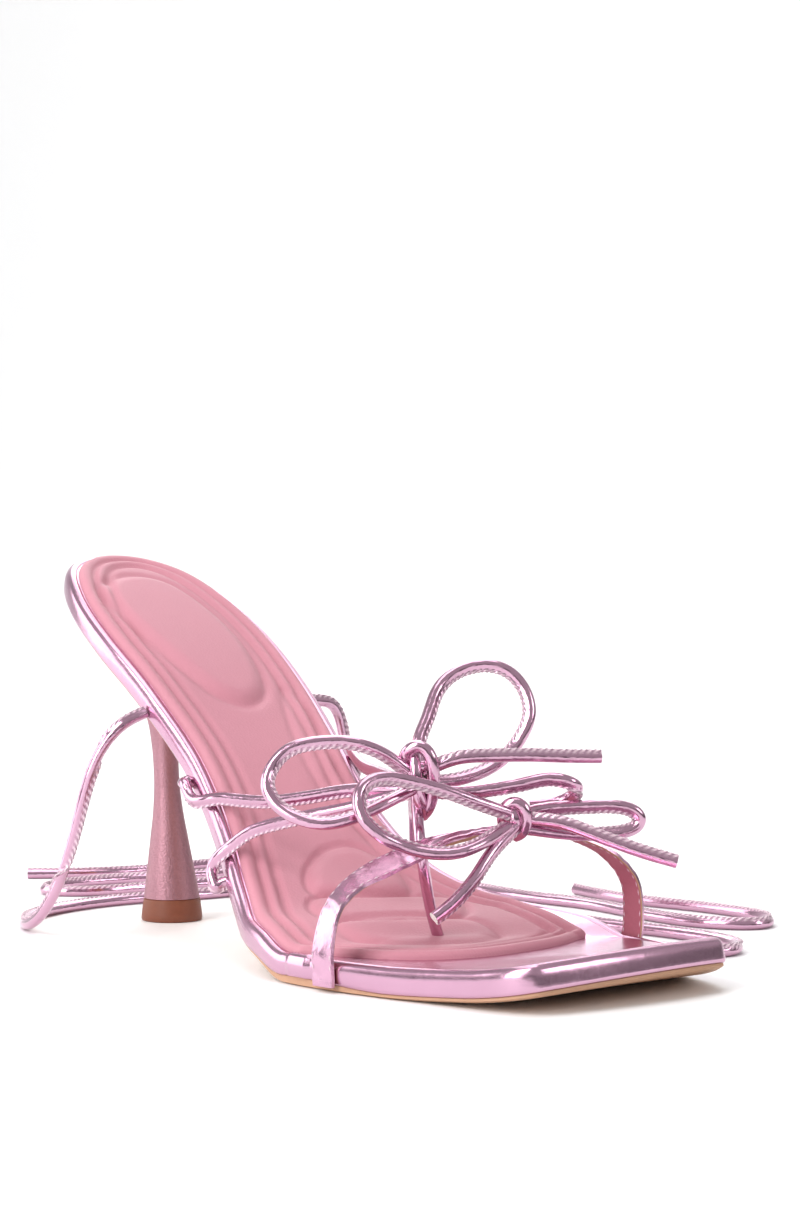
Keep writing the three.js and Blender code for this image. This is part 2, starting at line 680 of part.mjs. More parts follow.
// Bow cords: forward, inward and up from the knot, as shares of BOW_REACH
const REAR_BOW = {
  outerLoop: [
    [0, -0.03, 0.02],
    [-0.08, -0.2, 0.16],
    [-0.17, -0.35, 0.22],
    [-0.28, -0.53, 0.22],
    [-0.37, -0.66, 0.18],
    [-0.39, -0.76, 0.08],
    [-0.36, -0.82, -0.02],
    [-0.28, -0.8, -0.13],
    [-0.17, -0.73, -0.2],
    [-0.05, -0.62, -0.23],
    [0.03, -0.46, -0.19],
    [0.06, -0.28, -0.12],
    [0.05, -0.08, -0.05],
  ],
  upperLoop: [
    [0, 0, 0.03],
    [-0.08, 0.05, 0.2],
    [-0.14, 0.17, 0.35],
    [-0.2, 0.3, 0.52],
    [-0.19, 0.43, 0.61],
    [-0.12, 0.58, 0.65],
    [-0.04, 0.69, 0.62],
    [0.04, 0.76, 0.51],
    [0.1, 0.76, 0.36],
    [0.11, 0.7, 0.25],
    [0.1, 0.61, 0.14],
    [0.08, 0.45, 0.04],
    [0.05, 0.2, -0.02],
    [0.01, 0.03, -0.02],
  ],
  upperTail: [
    [0.02, 0.02, 0.04],
    [0.15, 0.16, 0.12],
    [0.25, 0.32, 0.13],
    [0.35, 0.54, 0.13],
    [0.44, 0.74, 0.12],
    [0.52, 0.93, 0.115],
  ],
  lowerTail: [
    [0.04, 0.02, -0.06],
    [0.17, 0.18, -0.07],
    [0.27, 0.33, -0.05],
    [0.37, 0.48, -0.02],
    [0.44, 0.59, 0.01],
    [0.51, 0.66, 0],
    [0.54, 0.72, -0.025],
    [0.515, 0.77, -0.055],
    [0.45, 0.8, -0.085],
    [0.38, 0.79, -0.125],
    [0.31, 0.72, -0.155],
    [0.24, 0.63, -0.165],
  ],
};
const FRONT_BOW = {
  outerLoop: [
    [0.02, -0.03, 0.02],
    [-0.03, -0.27, 0.1],
    [-0.09, -0.45, 0.17],
    [-0.16, -0.61, 0.22],
    [-0.22, -0.75, 0.25],
    [-0.24, -0.88, 0.23],
    [-0.23, -0.95, 0.17],
    [-0.19, -0.98, 0.09],
    [-0.14, -0.97, 0.01],
    [-0.07, -0.89, -0.08],
    [-0.04, -0.78, -0.13],
    [0.05, -0.65, -0.17],
    [0.11, -0.5, -0.17],
    [0.12, -0.35, -0.13],
    [0.06, -0.1, -0.05],
  ],
  innerLoop: [
    [0.03, 0.03, 0.02],
    [0.1, 0.15, 0.05],
    [0.2, 0.38, 0.06],
    [0.28, 0.53, 0.06],
    [0.345, 0.63, 0.03],
    [0.36, 0.67, -0.03],
    [0.33, 0.63, -0.085],
    [0.27, 0.5, -0.11],
    [0.18, 0.28, -0.105],
    [0.07, 0.04, -0.07],
  ],
  innerTail: [
    [0.05, 0.01, -0.01],
    [0.22, 0.16, -0.03],
    [0.38, 0.32, -0.11],
    [0.53, 0.49, -0.19],
    [0.66, 0.65, -0.25],
  ],
  outerTail: [
    [0.05, -0.04, -0.05],
    [0.1, -0.25, -0.17],
    [0.13, -0.42, -0.33],
    [0.12, -0.56, -0.45],
    [0.1, -0.67, -0.52],
  ],
};

function bow(knot, cords, radii) {
  const tubes = Object.values(cords).map((rows) => {
    const points = rows.map(([f, i, u]) =>
      new THREE.Vector3(f, i, u).multiplyScalar(BOW_REACH).add(knot),
    );
    return cordGeometry(points, cordSteps(points));
  });
  return fromSolid(joined([lump(knot, radii), ...tubes]));
}

// Ankle ties, laid down uncoiled: out of the seam beside the seat, down to the floor and along it
const TIE_REST = CORD / 2 + 0.05;
const TIE_STEPS = 80;
const OUTER_TIE_SEAT = 0.294; // share of the sole's length where each tie leaves the seam
const INNER_TIE_SEAT = 0.278;
const OUTER_TIE_ROUTE = [
  [26, -39, 47],
  [22, -42, 30],
  [16, -44, 13],
  [6, -45, 3],
  [-6, -42, TIE_REST],
  [-20, -32, TIE_REST],
  [-31, -15, TIE_REST],
  [-36, 8, TIE_REST],
  [-33, 34, TIE_REST],
  [-36, 60, TIE_REST],
  [-34, 86, TIE_REST],
  [-38, 106, TIE_REST],
  [-48, 116, TIE_REST],
  [-58, 106, TIE_REST],
  [-60, 84, TIE_REST],
  [-55, 58, TIE_REST],
  [-58, 32, TIE_REST],
  [-59, 10, TIE_REST],
  [-69, -1, TIE_REST],
  [-80, 8, TIE_REST],
  [-82, 30, TIE_REST],
  [-77, 56, TIE_REST],
  [-80, 84, TIE_REST],
  [-82, 104, TIE_REST],
  [-92, 115, TIE_REST],
  [-103, 105, TIE_REST],
  [-104, 82, TIE_REST],
  [-99, 56, TIE_REST],
  [-102, 34, TIE_REST],
  [-112, 18, TIE_REST],
];
const INNER_TIE_ROUTE = [
  [25, 36, 60],
  [25, 40, 43],
  [26, 43, 24],
  [30, 46, 8],
  [40, 52, TIE_REST],
  [60, 58, TIE_REST],
  [86, 55, TIE_REST],
  [112, 58, TIE_REST],
  [134, 58, TIE_REST],
  [144, 68, TIE_REST],
  [135, 79, TIE_REST],
  [112, 81, TIE_REST],
  [84, 77, TIE_REST],
  [56, 81, TIE_REST],
  [28, 78, TIE_REST],
  [4, 77, TIE_REST],
  [-12, 84, TIE_REST],
  [-15, 97, TIE_REST],
  [-2, 104, TIE_REST],
  [24, 101, TIE_REST],
  [52, 104, TIE_REST],
  [80, 100, TIE_REST],
  [102, 101, TIE_REST],
  [113, 111, TIE_REST],
  [103, 122, TIE_REST],
  [78, 125, TIE_REST],
  [50, 121, TIE_REST],
  [22, 125, TIE_REST],
];

function tie(side, seat, route) {
  const points = [
    beside(side, seat, 0, GAP / 2),
    beside(side, seat, 0, 2 * CORD),
    ...route.map((p) => new THREE.Vector3(...p)),
  ];
  const hanging = new THREE.CatmullRomCurve3(points, false, "centripetal");
  const resting = hanging.getSpacedPoints(TIE_STEPS);
  for (const p of resting) p.z = Math.max(p.z, TIE_REST);
  return cordGeometry(resting, TIE_STEPS);
}

const group = new THREE.Group();
group.add(
  piece("outsole", outsole(), ...TAN),
  piece("footbed", footbed(), ...FOIL),
  piece("insole_pad", sock(), ...ROSE),
  piece("heel", heel(), ...SATIN),
  piece("top_lift", topLift(), ...BROWN),
  piece("upper", upper(), ...FOIL),
  piece("rear_bow", bow(rearKnot, REAR_BOW, REAR_KNOT_LUMP), ...FOIL),
  piece("front_bow", bow(frontKnot, FRONT_BOW, FRONT_KNOT_LUMP), ...FOIL),
  piece("tie_outer", tie(-1, OUTER_TIE_SEAT, OUTER_TIE_ROUTE), ...FOIL),
  piece("tie_inner", tie(1, INNER_TIE_SEAT, INNER_TIE_ROUTE), ...FOIL),
);

export default group;
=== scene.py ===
"""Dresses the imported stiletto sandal: foil rim, padded sock, wrapped heel, toe strap, cords and bows."""

import math

import bpy
import numpy as np
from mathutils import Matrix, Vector


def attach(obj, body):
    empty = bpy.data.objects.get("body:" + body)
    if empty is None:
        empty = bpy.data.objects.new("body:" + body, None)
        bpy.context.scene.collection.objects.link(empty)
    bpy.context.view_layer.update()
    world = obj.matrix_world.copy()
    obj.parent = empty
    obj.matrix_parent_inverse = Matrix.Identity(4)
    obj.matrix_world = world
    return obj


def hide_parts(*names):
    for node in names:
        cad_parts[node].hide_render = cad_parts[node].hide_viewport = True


bl_info = {
    "name": "Stiletto sandal",
    "version": (1, 0, 0),
    "blender": (4, 5, 0),
    "location": "3D View > Sidebar > Sandal",
    "description": "Models and dresses a lace-up stiletto sandal",
    "category": "Add Mesh",
}

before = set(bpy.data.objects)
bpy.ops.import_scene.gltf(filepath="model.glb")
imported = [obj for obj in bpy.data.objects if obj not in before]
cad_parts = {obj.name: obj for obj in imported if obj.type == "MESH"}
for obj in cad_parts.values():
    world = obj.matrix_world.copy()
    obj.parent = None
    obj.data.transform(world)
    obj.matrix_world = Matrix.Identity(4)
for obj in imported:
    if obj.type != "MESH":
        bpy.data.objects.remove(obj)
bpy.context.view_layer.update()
MM = 0.001

# The last, in millimetres, as in the part's source
SOLE_LENGTH = 218.0
SEAT_BACK = 34.0
SEAT_HEIGHT = 94.0
BALL_WIDTH = 82.5
HEEL_SKEW = -0.05
BALL_SKEW = 0.34
TOE_SKEW = -0.12
OUTSOLE_FORE = 2.4
OUTSOLE_WAIST = 1.4
OUTSOLE_INSET = 0.8
WRAP_SHARE = 0.6  # outsole's thickness that the foil covers, and less beside the outer ball
BALL_WRAP = 0.15
FOIL_OVERLAP = 0.04
BOARD = 4.6
RIM_WIDTH = 3.2
RIM_RISE = 1.1
TOE_TOP_DROP = 0.25
TOE_BULGE = 0.012
SOCK = 2.1
SOCK_EDGE = 1.0
SOCK_CROWN = 0.7
SOCK_ROWS = 10.4
GAP = 0.3
TIP_RADIUS = 8.2
LIFT_HEIGHT = 6.0
HEEL_RADIUS = 7.5
HEEL_LEAN = -6.0
STRAP_WIDTH = 6.0
STRAP_THICK = 1.3
STRAP_EDGE = 0.22
STITCH_SHARE = 0.33  # stitch's half length, as a share of the pitch
STITCH_HALF_WIDTH = 0.17
STITCH_RISE = 0.14
SPINE = (0.12, 0.86)  # shares of the length between which a filled ring's middle line runs
PATCH = (0.682, 0.714)  # rim wrap's overlap beside the strap
PATCH_PROUD = 0.4
CORD = 2.7
KNOT_HEIGHT = 45.0
TOE_KNOT_HEIGHT = 36.3
BOW_REACH = 40.0
KNOT_SETBACK = 5.6

# Share of the sole's length, share of the seat's height
PROFILE = np.array([
    (-0.03, 1.005), (0.064, 0.92), (0.156, 0.8), (0.248, 0.66), (0.362, 0.457), (0.477, 0.239),
    (0.546, 0.136), (0.615, 0.0655), (0.674, 0.0365), (0.734, 0), (0.844, 0), (0.908, 0.012),
    (0.963, 0.0355), (1.03, 0.08),
])
# Outer along, outer across, inner along, inner across
OUTLINE = np.array([
    (0.0115, -0.127, 0.0115, 0.115), (0.05, -0.243, 0.05, 0.22), (0.119, -0.324, 0.119, 0.292),
    (0.202, -0.348, 0.202, 0.318), (0.284, -0.327, 0.284, 0.306), (0.367, -0.303, 0.367, 0.27),
    (0.44, -0.327, 0.44, 0.236), (0.514, -0.395, 0.514, 0.233), (0.587, -0.472, 0.578, 0.268),
    (0.66, -0.507, 0.633, 0.343), (0.734, -0.499, 0.679, 0.43), (0.812, -0.458, 0.73, 0.486),
    (0.87, -0.42, 0.8, 0.503), (0.925, -0.384, 0.88, 0.479), (0.972, -0.35, 0.954, 0.42),
    (0.992, -0.312, 0.984, 0.365),
])
SOCK_FRONT = np.array([
    (0.724, -0.41), (0.776, -0.33), (0.806, -0.22), (0.816, -0.09), (0.809, 0.08), (0.792, 0.24),
    (0.762, 0.38),
])
# Share of the height to the seat, radius along, radius across
HEEL_SECTIONS = np.array([
    (0, 1, 1), (0.06, 0.92, 0.92), (0.14, 0.8, 0.8), (0.23, 0.67, 0.67), (0.32, 0.545, 0.545),
    (0.42, 0.465, 0.465), (0.52, 0.46, 0.46), (0.62, 0.54, 0.53), (0.71, 0.74, 0.7),
    (0.79, 1.05, 0.98), (0.87, 1.5, 1.4), (0.95, 2.05, 1.9), (1.04, 2.5, 2.35), (1.25, 2.7, 2.5),
])
# Along, across, height share of the toe knot, width share, drop of the front edge per mm forward
TOE_STRAP = [
    (0.744, -0.475, 0.49, 1, 0), (0.744, -0.41, 0.63, 1, 0.2), (0.745, -0.325, 0.715, 1, 0.5),
    (0.747, -0.215, 0.8, 0.96, 0.58), (0.748, -0.11, 0.87, 0.63, 0.35), (0.7475, 0.02, 0.9, 0.5, 0),
    (0.7495, 0.13, 0.905, 0.5, 0), (0.758, 0.235, 0.88, 0.57, 0), (0.766, 0.345, 0.83, 0.88, 0),
    (0.774, 0.45, 0.71, 1, 0), (0.779, 0.515, 0.53, 1, 0),
]
# Side, seam's share of the length, then places along, across and height share of the knot
INSTEP_CORDS = {
    "rear_outer": (-1, 0.374, [
        (0.3805, -0.329, 0.913), (0.389, -0.332, 0.856), (0.407, -0.336, 0.816),
        (0.424, -0.33, 0.828), (0.438, -0.309, 0.845), (0.4705, -0.287, 0.842),
        (0.509, -0.26, 0.843), (0.563, -0.216, 0.88), (0.613, -0.17, 0.925), (0.657, -0.124, 0.936)]),
    "mid_outer": (-1, 0.484, [
        (0.481, -0.385, 0.371), (0.471, -0.387, 0.425), (0.465, -0.379, 0.48),
        (0.4745, -0.376, 0.54), (0.486, -0.352, 0.598), (0.512, -0.322, 0.69),
        (0.553, -0.278, 0.753), (0.589, -0.236, 0.797), (0.6225, -0.191, 0.835),
        (0.6565, -0.1415, 0.887)]),
    "rear_inner": (1, 0.394, [
        (0.396, 0.282, 0.9), (0.4, 0.271, 1.02), (0.4097, 0.232, 1.075), (0.4406, 0.184, 1.045),
        (0.494, 0.118, 1.0), (0.556, 0.057, 0.985), (0.633, -0.023, 0.97)]),
    "mid_inner": (1, 0.513, [
        (0.514, 0.268, 0.49), (0.518, 0.263, 0.62), (0.53, 0.236, 0.73), (0.56, 0.172, 0.8),
        (0.6, 0.093, 0.86), (0.65, 0, 0.91)]),
}
# Forward, inward and up from the knot, as shares of the bow's reach
REAR_BOW = {
    "outer_loop": [
        (0, -0.03, 0.02), (-0.08, -0.2, 0.16), (-0.17, -0.35, 0.22), (-0.28, -0.53, 0.22),
        (-0.37, -0.66, 0.18), (-0.39, -0.76, 0.08), (-0.36, -0.82, -0.02), (-0.28, -0.8, -0.13),
        (-0.17, -0.73, -0.2), (-0.05, -0.62, -0.23), (0.03, -0.46, -0.19), (0.06, -0.28, -0.12),
        (0.05, -0.08, -0.05)],
    "upper_loop": [
        (0, 0, 0.03), (-0.08, 0.05, 0.2), (-0.14, 0.17, 0.35), (-0.2, 0.3, 0.52),
        (-0.19, 0.43, 0.61), (-0.12, 0.58, 0.65), (-0.04, 0.69, 0.62), (0.04, 0.76, 0.51),
        (0.1, 0.76, 0.36), (0.11, 0.7, 0.25), (0.1, 0.61, 0.14), (0.08, 0.45, 0.04),
        (0.05, 0.2, -0.02), (0.01, 0.03, -0.02)],
    "upper_tail": [
        (0.02, 0.02, 0.04), (0.15, 0.16, 0.12), (0.25, 0.32, 0.13), (0.35, 0.54, 0.13),
        (0.44, 0.74, 0.12), (0.52, 0.93, 0.115)],
    "lower_tail": [
        (0.04, 0.02, -0.06), (0.17, 0.18, -0.07), (0.27, 0.33, -0.05), (0.37, 0.48, -0.02),
        (0.44, 0.59, 0.01), (0.51, 0.66, 0), (0.54, 0.72, -0.025), (0.515, 0.77, -0.055),
        (0.45, 0.8, -0.085), (0.38, 0.79, -0.125), (0.31, 0.72, -0.155), (0.24, 0.63, -0.165)],
}
FRONT_BOW = {
    "outer_loop": [
        (0.02, -0.03, 0.02), (-0.03, -0.27, 0.1), (-0.09, -0.45, 0.17), (-0.16, -0.61, 0.22),
        (-0.22, -0.75, 0.25), (-0.24, -0.88, 0.23), (-0.23, -0.95, 0.17), (-0.19, -0.98, 0.09),
        (-0.14, -0.97, 0.01), (-0.07, -0.89, -0.08), (-0.04, -0.78, -0.13), (0.05, -0.65, -0.17),
        (0.11, -0.5, -0.17), (0.12, -0.35, -0.13), (0.06, -0.1, -0.05)],
    "inner_loop": [
        (0.03, 0.03, 0.02), (0.1, 0.15, 0.05), (0.2, 0.38, 0.06), (0.28, 0.53, 0.06),
        (0.345, 0.63, 0.03), (0.36, 0.67, -0.03), (0.33, 0.63, -0.085), (0.27, 0.5, -0.11),
        (0.18, 0.28, -0.105),
        (0.07, 0.04, -0.07)],
    "inner_tail": [
        (0.05, 0.01, -0.01), (0.22, 0.16, -0.03), (0.38, 0.32, -0.11), (0.53, 0.49, -0.19),
        (0.66, 0.65, -0.25)],
    "outer_tail": [
        (0.05, -0.04, -0.05), (0.1, -0.25, -0.17), (0.13, -0.42, -0.33), (0.12, -0.56, -0.45),
        (0.1, -0.67, -0.52)],
}
TIE_REST = CORD / 2 + 0.05
OUTER_TIE_ROUTE = [
    (26, -39, 47), (22, -42, 30), (16, -44, 13), (6, -45, 3), (-6, -42, TIE_REST),
    (-20, -32, TIE_REST), (-31, -15, TIE_REST), (-36, 8, TIE_REST), (-33, 34, TIE_REST),
    (-36, 60, TIE_REST), (-34, 86, TIE_REST), (-38, 106, TIE_REST), (-48, 116, TIE_REST),
    (-58, 106, TIE_REST), (-60, 84, TIE_REST), (-55, 58, TIE_REST), (-58, 32, TIE_REST),
    (-59, 10, TIE_REST), (-69, -1, TIE_REST), (-80, 8, TIE_REST), (-82, 30, TIE_REST),
    (-77, 56, TIE_REST), (-80, 84, TIE_REST), (-82, 104, TIE_REST), (-92, 115, TIE_REST),
    (-103, 105, TIE_REST), (-104, 82, TIE_REST), (-99, 56, TIE_REST), (-102, 34, TIE_REST),
    (-112, 18, TIE_REST),
]
INNER_TIE_ROUTE = [
    (25, 36, 60), (25, 40, 43), (26, 43, 24), (30, 46, 8), (40, 52, TIE_REST), (60, 58, TIE_REST),
    (86, 55, TIE_REST), (112, 58, TIE_REST), (134, 58, TIE_REST), (144, 68, TIE_REST),
    (135, 79, TIE_REST), (112, 81, TIE_REST), (84, 77, TIE_REST), (56, 81, TIE_REST),
    (28, 78, TIE_REST), (4, 77, TIE_REST), (-12, 84, TIE_REST), (-15, 97, TIE_REST),
    (-2, 104, TIE_REST), (24, 101, TIE_REST), (52, 104, TIE_REST), (80, 100, TIE_REST),
    (102, 101, TIE_REST), (113, 111, TIE_REST), (103, 122, TIE_REST), (78, 125, TIE_REST),
    (50, 121, TIE_REST), (22, 125, TIE_REST),
]
TIES = {"tie_outer": (-1, 0.294, OUTER_TIE_ROUTE), "tie_inner": (1, 0.278, INNER_TIE_ROUTE)}


# The last's surface

def smooth(t):
    c = np.clip(t, 0, 1)
    return c * c * (3 - 2 * c)


def along_x(share):
    return share * SOLE_LENGTH - SEAT_BACK


def share_of(x):
    return (x + SEAT_BACK) / SOLE_LENGTH


def profile_slopes():
    a, h = PROFILE.T
    step = np.diff(h) / np.diff(a)
    inner = [0 if p * q <= 0 else 2 * p * q / (p + q) for p, q in zip(step[:-1], step[1:])]
    return np.array([step[0], *inner, step[-1]])


SLOPES = profile_slopes()


def profile_at(share):
    i = np.clip(np.searchsorted(PROFILE[:, 0], share) - 1, 0, len(PROFILE) - 2)
    a, b = PROFILE[i], PROFILE[i + 1]
    width = b[..., 0] - a[..., 0]
    t = (share - a[..., 0]) / width
    t2, t3 = t * t, t * t * t
    return ((2 * t3 - 3 * t2 + 1) * a[..., 1] + (t3 - 2 * t2 + t) * width * SLOPES[i]
            + (3 * t2 - 2 * t3) * b[..., 1] + (t3 - t2) * width * SLOPES[i + 1])


def base_height(x, y):
    share = share_of(x)
    skew = (HEEL_SKEW + (BALL_SKEW - HEEL_SKEW) * smooth((share - 0.225) / 0.39)
            + (TOE_SKEW - BALL_SKEW) * smooth((share - 0.73) / 0.275))
    return OUTSOLE_FORE + SEAT_HEIGHT * profile_at(share - skew * y / SOLE_LENGTH)


def lifted(x, y, lift):
    """Points at a lift along the normal of the outsole's upper face."""
    x, y = np.asarray(x, float), np.asarray(y, float)
    d = 0.5
    sx = (base_height(x + d, y) - base_height(x - d, y)) / (2 * d)
    sy = (base_height(x, y + d) - base_height(x, y - d)) / (2 * d)
    n = np.stack([-sx, -sy, np.ones_like(sx)], -1)
    n /= np.linalg.norm(n, axis=-1, keepdims=True)
    return np.stack([x, y, base_height(x, y)], -1) + n * np.asarray(lift)[..., None]


def outsole_thickness(x):
    return OUTSOLE_WAIST + (OUTSOLE_FORE - OUTSOLE_WAIST) * smooth((share_of(x) - 0.5) / 0.17)


def wrap_share(x, y):
    """Share of the outsole's thickness that the foil covers: less beside the outer ball."""
    near = 1 - smooth(np.abs(share_of(x) - 0.7) / 0.12)
    outer = smooth((-y - 0.2 * BALL_WIDTH) / (0.2 * BALL_WIDTH))
    return WRAP_SHARE - (WRAP_SHARE - BALL_WRAP) * near * outer


def curve_points(points, u):
    """Centripetal curve through the points, at parameters from 0 to 1."""
    p = np.asarray(points, float)
    p = np.vstack([2 * p[0] - p[1], p, 2 * p[-1] - p[-2]])
    t = np.clip(u, 0, 1) * (len(p) - 3)
    i = np.minimum(t.astype(int), len(p) - 4)
    w = (t - i)[:, None]
    x0, x1, x2, x3 = (p[i + k] for k in range(4))
    d0, d1, d2 = (np.sqrt(np.linalg.norm(b - a, axis=1))[:, None] for a, b in ((x0, x1), (x1, x2), (x2, x3)))
    t1 = ((x1 - x0) / d0 - (x2 - x0) / (d0 + d1) + (x2 - x1) / d1) * d1
    t2 = ((x2 - x1) / d1 - (x3 - x1) / (d1 + d2) + (x3 - x2) / d2) * d1
    return x1 + t1 * w + (-3 * x1 + 3 * x2 - 2 * t1 - t2) * w**2 + (2 * x1 - 2 * x2 + t1 + t2) * w**3


def even_path(points, step, dense=60):
    """The same curve, resampled at even steps along its length."""
    p = curve_points(points, np.linspace(0, 1, dense * (len(points) - 1) + 1))
    return even_polyline(p, step)


def even_polyline(p, step):
    s = np.r_[0, np.cumsum(np.linalg.norm(np.diff(p, axis=0), axis=1))]
    n = max(2, int(round(s[-1] / step)) + 1)
    at = np.linspace(0, s[-1], n)
    return np.stack([np.interp(at, s, p[:, k]) for k in range(p.shape[1])], 1)


def eased(p, rounds=40):
    """Rounds a path's corners, its ends held."""
    p = p.copy()
    for _ in range(rounds):
        p[1:-1] = (p[:-2] + 2 * p[1:-1] + p[2:]) / 4
    return p


def side_curve():
    outer = np.stack([along_x(OUTLINE[::-1, 0]), OUTLINE[::-1, 1] * BALL_WIDTH], 1)
    inner = np.stack([along_x(OUTLINE[:, 2]), OUTLINE[:, 3] * BALL_WIDTH], 1)
    return np.vstack([outer, [[along_x(0.0), 0.0]], inner])


SIDE_CURVE = side_curve()


def side_points(side, rows):
    return curve_points(SIDE_CURVE, (len(OUTLINE) + side * np.asarray(rows, float)) / (2 * len(OUTLINE)))


def inset(loop, distance):
    """Moves a closed plan loop inwards; the distance may vary round it."""
    t = np.roll(loop, -1, 0) - np.roll(loop, 1, 0)
    t /= np.linalg.norm(t, axis=1, keepdims=True)
    return loop + np.stack([t[:, 1], -t[:, 0]], 1) * np.broadcast_to(distance, len(loop))[:, None]


def sole_loop(step=1.1):
    """Footbed's outline: outer front corner, round the heel, inner front corner, toe edge."""
    n = len(OUTLINE)
    sides = np.vstack([side_points(-1, np.linspace(n, 0, 260))[:-1], side_points(1, np.linspace(0, n, 260))])
    a, b = sides[-1], sides[0]
    t = np.linspace(0, 1, 60)[1:-1, None]
    toe = a + (b - a) * t
    toe[:, 0] += (4 * t * (1 - t))[:, 0] * TOE_BULGE * SOLE_LENGTH
    loop = np.vstack([sides, toe, sides[:1]])
    loop = even_polyline(loop, step)[:-1]
    for _ in range(2):
        loop = 0.25 * np.roll(loop, 1, 0) + 0.5 * loop + 0.25 * np.roll(loop, -1, 0)
    return loop


def sock_loop(margin=0.0, step=0.9):
    n = 220
    rows = SOCK_ROWS
    sides = np.vstack([side_points(-1, np.linspace(rows, 0, n))[:-1],
                       side_points(1, np.linspace(0, rows, n))])
    front = curve_points(np.stack([along_x(SOCK_FRONT[::-1, 0]), SOCK_FRONT[::-1, 1] * BALL_WIDTH], 1),
                         np.linspace(0, 1, 80))
    sides = inset(np.vstack([sides, front]), RIM_WIDTH)[: len(sides)]
    loop = np.vstack([sides, front, sides[:1]])
    loop = even_polyline(loop, step)[:-1]
    for _ in range(3):
        loop = 0.25 * np.roll(loop, 1, 0) + 0.5 * loop + 0.25 * np.roll(loop, -1, 0)
    return inset(loop, -margin)


def spine_of(loop, back, front):
    """Point on the shoe's middle line for each point of a loop, so rings can close on it."""
    x = np.clip(loop[:, 0], back, front)
    grid = np.linspace(along_x(0.02), along_x(0.96), 60)
    rows = np.linspace(0, len(OUTLINE), 400)
    outer, inner = side_points(-1, rows), side_points(1, rows)
    middle = (np.interp(grid, outer[:, 0], outer[:, 1]) + np.interp(grid, inner[:, 0], inner[:, 1])) / 2
    return np.stack([x, np.interp(x, grid, middle)], 1)


def ring_plans(loop, spine, near, count):
    """Plan rings from a loop to its spine: first at given distances, then evenly."""
    length = np.linalg.norm(spine - loop, axis=1)
    rings = [loop + (spine - loop) * np.minimum(d / length, 1)[:, None] for d in near]
    start = np.minimum(near[-1] / length, 1)
    for j in range(1, count + 1):
        q = start + (1 - start) * j / count
        rings.append(loop + (spine - loop) * q[:, None])
    return rings


def distance_to(loop, x, y):
    """Distance from plan places to a closed loop's line."""
    a = loop
    b = np.roll(loop, -1, 0)
    ab = b - a
    out = np.empty(x.size)
    p = np.stack([x.ravel(), y.ravel()], 1)
    for k in range(0, len(p), 4000):
        q = p[k:k + 4000, None] - a
        t = np.clip((q * ab).sum(-1) / (ab * ab).sum(-1), 0, 1)
        out[k:k + 4000] = np.linalg.norm(q - ab * t[..., None], axis=-1).min(1)
    return out.reshape(x.shape)


def inside(loop, x, y):
    a, b = loop, np.roll(loop, -1, 0)
    px, py = x.ravel()[:, None], y.ravel()[:, None]
    crosses = (a[:, 1] > py) != (b[:, 1] > py)
    with np.errstate(divide="ignore", invalid="ignore"):
        at = (b[:, 0] - a[:, 0]) * (py - a[:, 1]) / (b[:, 1] - a[:, 1]) + a[:, 0]
    return ((crosses & (px < at)).sum(1) % 2 == 1).reshape(x.shape)


def signed_distance(loop, x, y):
    return np.where(inside(loop, x, y), 1, -1) * distance_to(loop, x, y)


# Shader maths

class Value:
    """A shader socket or number that adds its own Math nodes."""

    def __init__(self, tree, socket):
        self.tree, self.socket = tree, socket

    def math(self, operation, *others):
        node = self.tree.nodes.new("ShaderNodeMath")
        node.operation = operation
        for slot, value in zip(node.inputs, (self, *others)):
            plug(self.tree, slot, value)
        return Value(self.tree, node.outputs[0])

    def __add__(self, o): return self.math("ADD", o)
    def __radd__(self, o): return self.math("ADD", o)
    def __mul__(self, o): return self.math("MULTIPLY", o)
    def __rmul__(self, o): return self.math("MULTIPLY", o)
    def __sub__(self, o): return self.math("SUBTRACT", o)
    def __rsub__(self, o): return Value.of(self.tree, o).math("SUBTRACT", self)
    def __gt__(self, o): return self.math("GREATER_THAN", o)

    @staticmethod
    def of(tree, number):
        node = tree.nodes.new("ShaderNodeValue")
        node.outputs[0].default_value = number
        return Value(tree, node.outputs[0])


def plug(tree, slot, value):
    if isinstance(value, Value):
        value = value.socket
    if isinstance(value, bpy.types.NodeSocket):
        tree.links.new(value, slot)
    elif isinstance(value, (int, float)) and hasattr(slot.default_value, "__len__"):
        slot.default_value = [value] * len(slot.default_value)
    else:
        slot.default_value = value


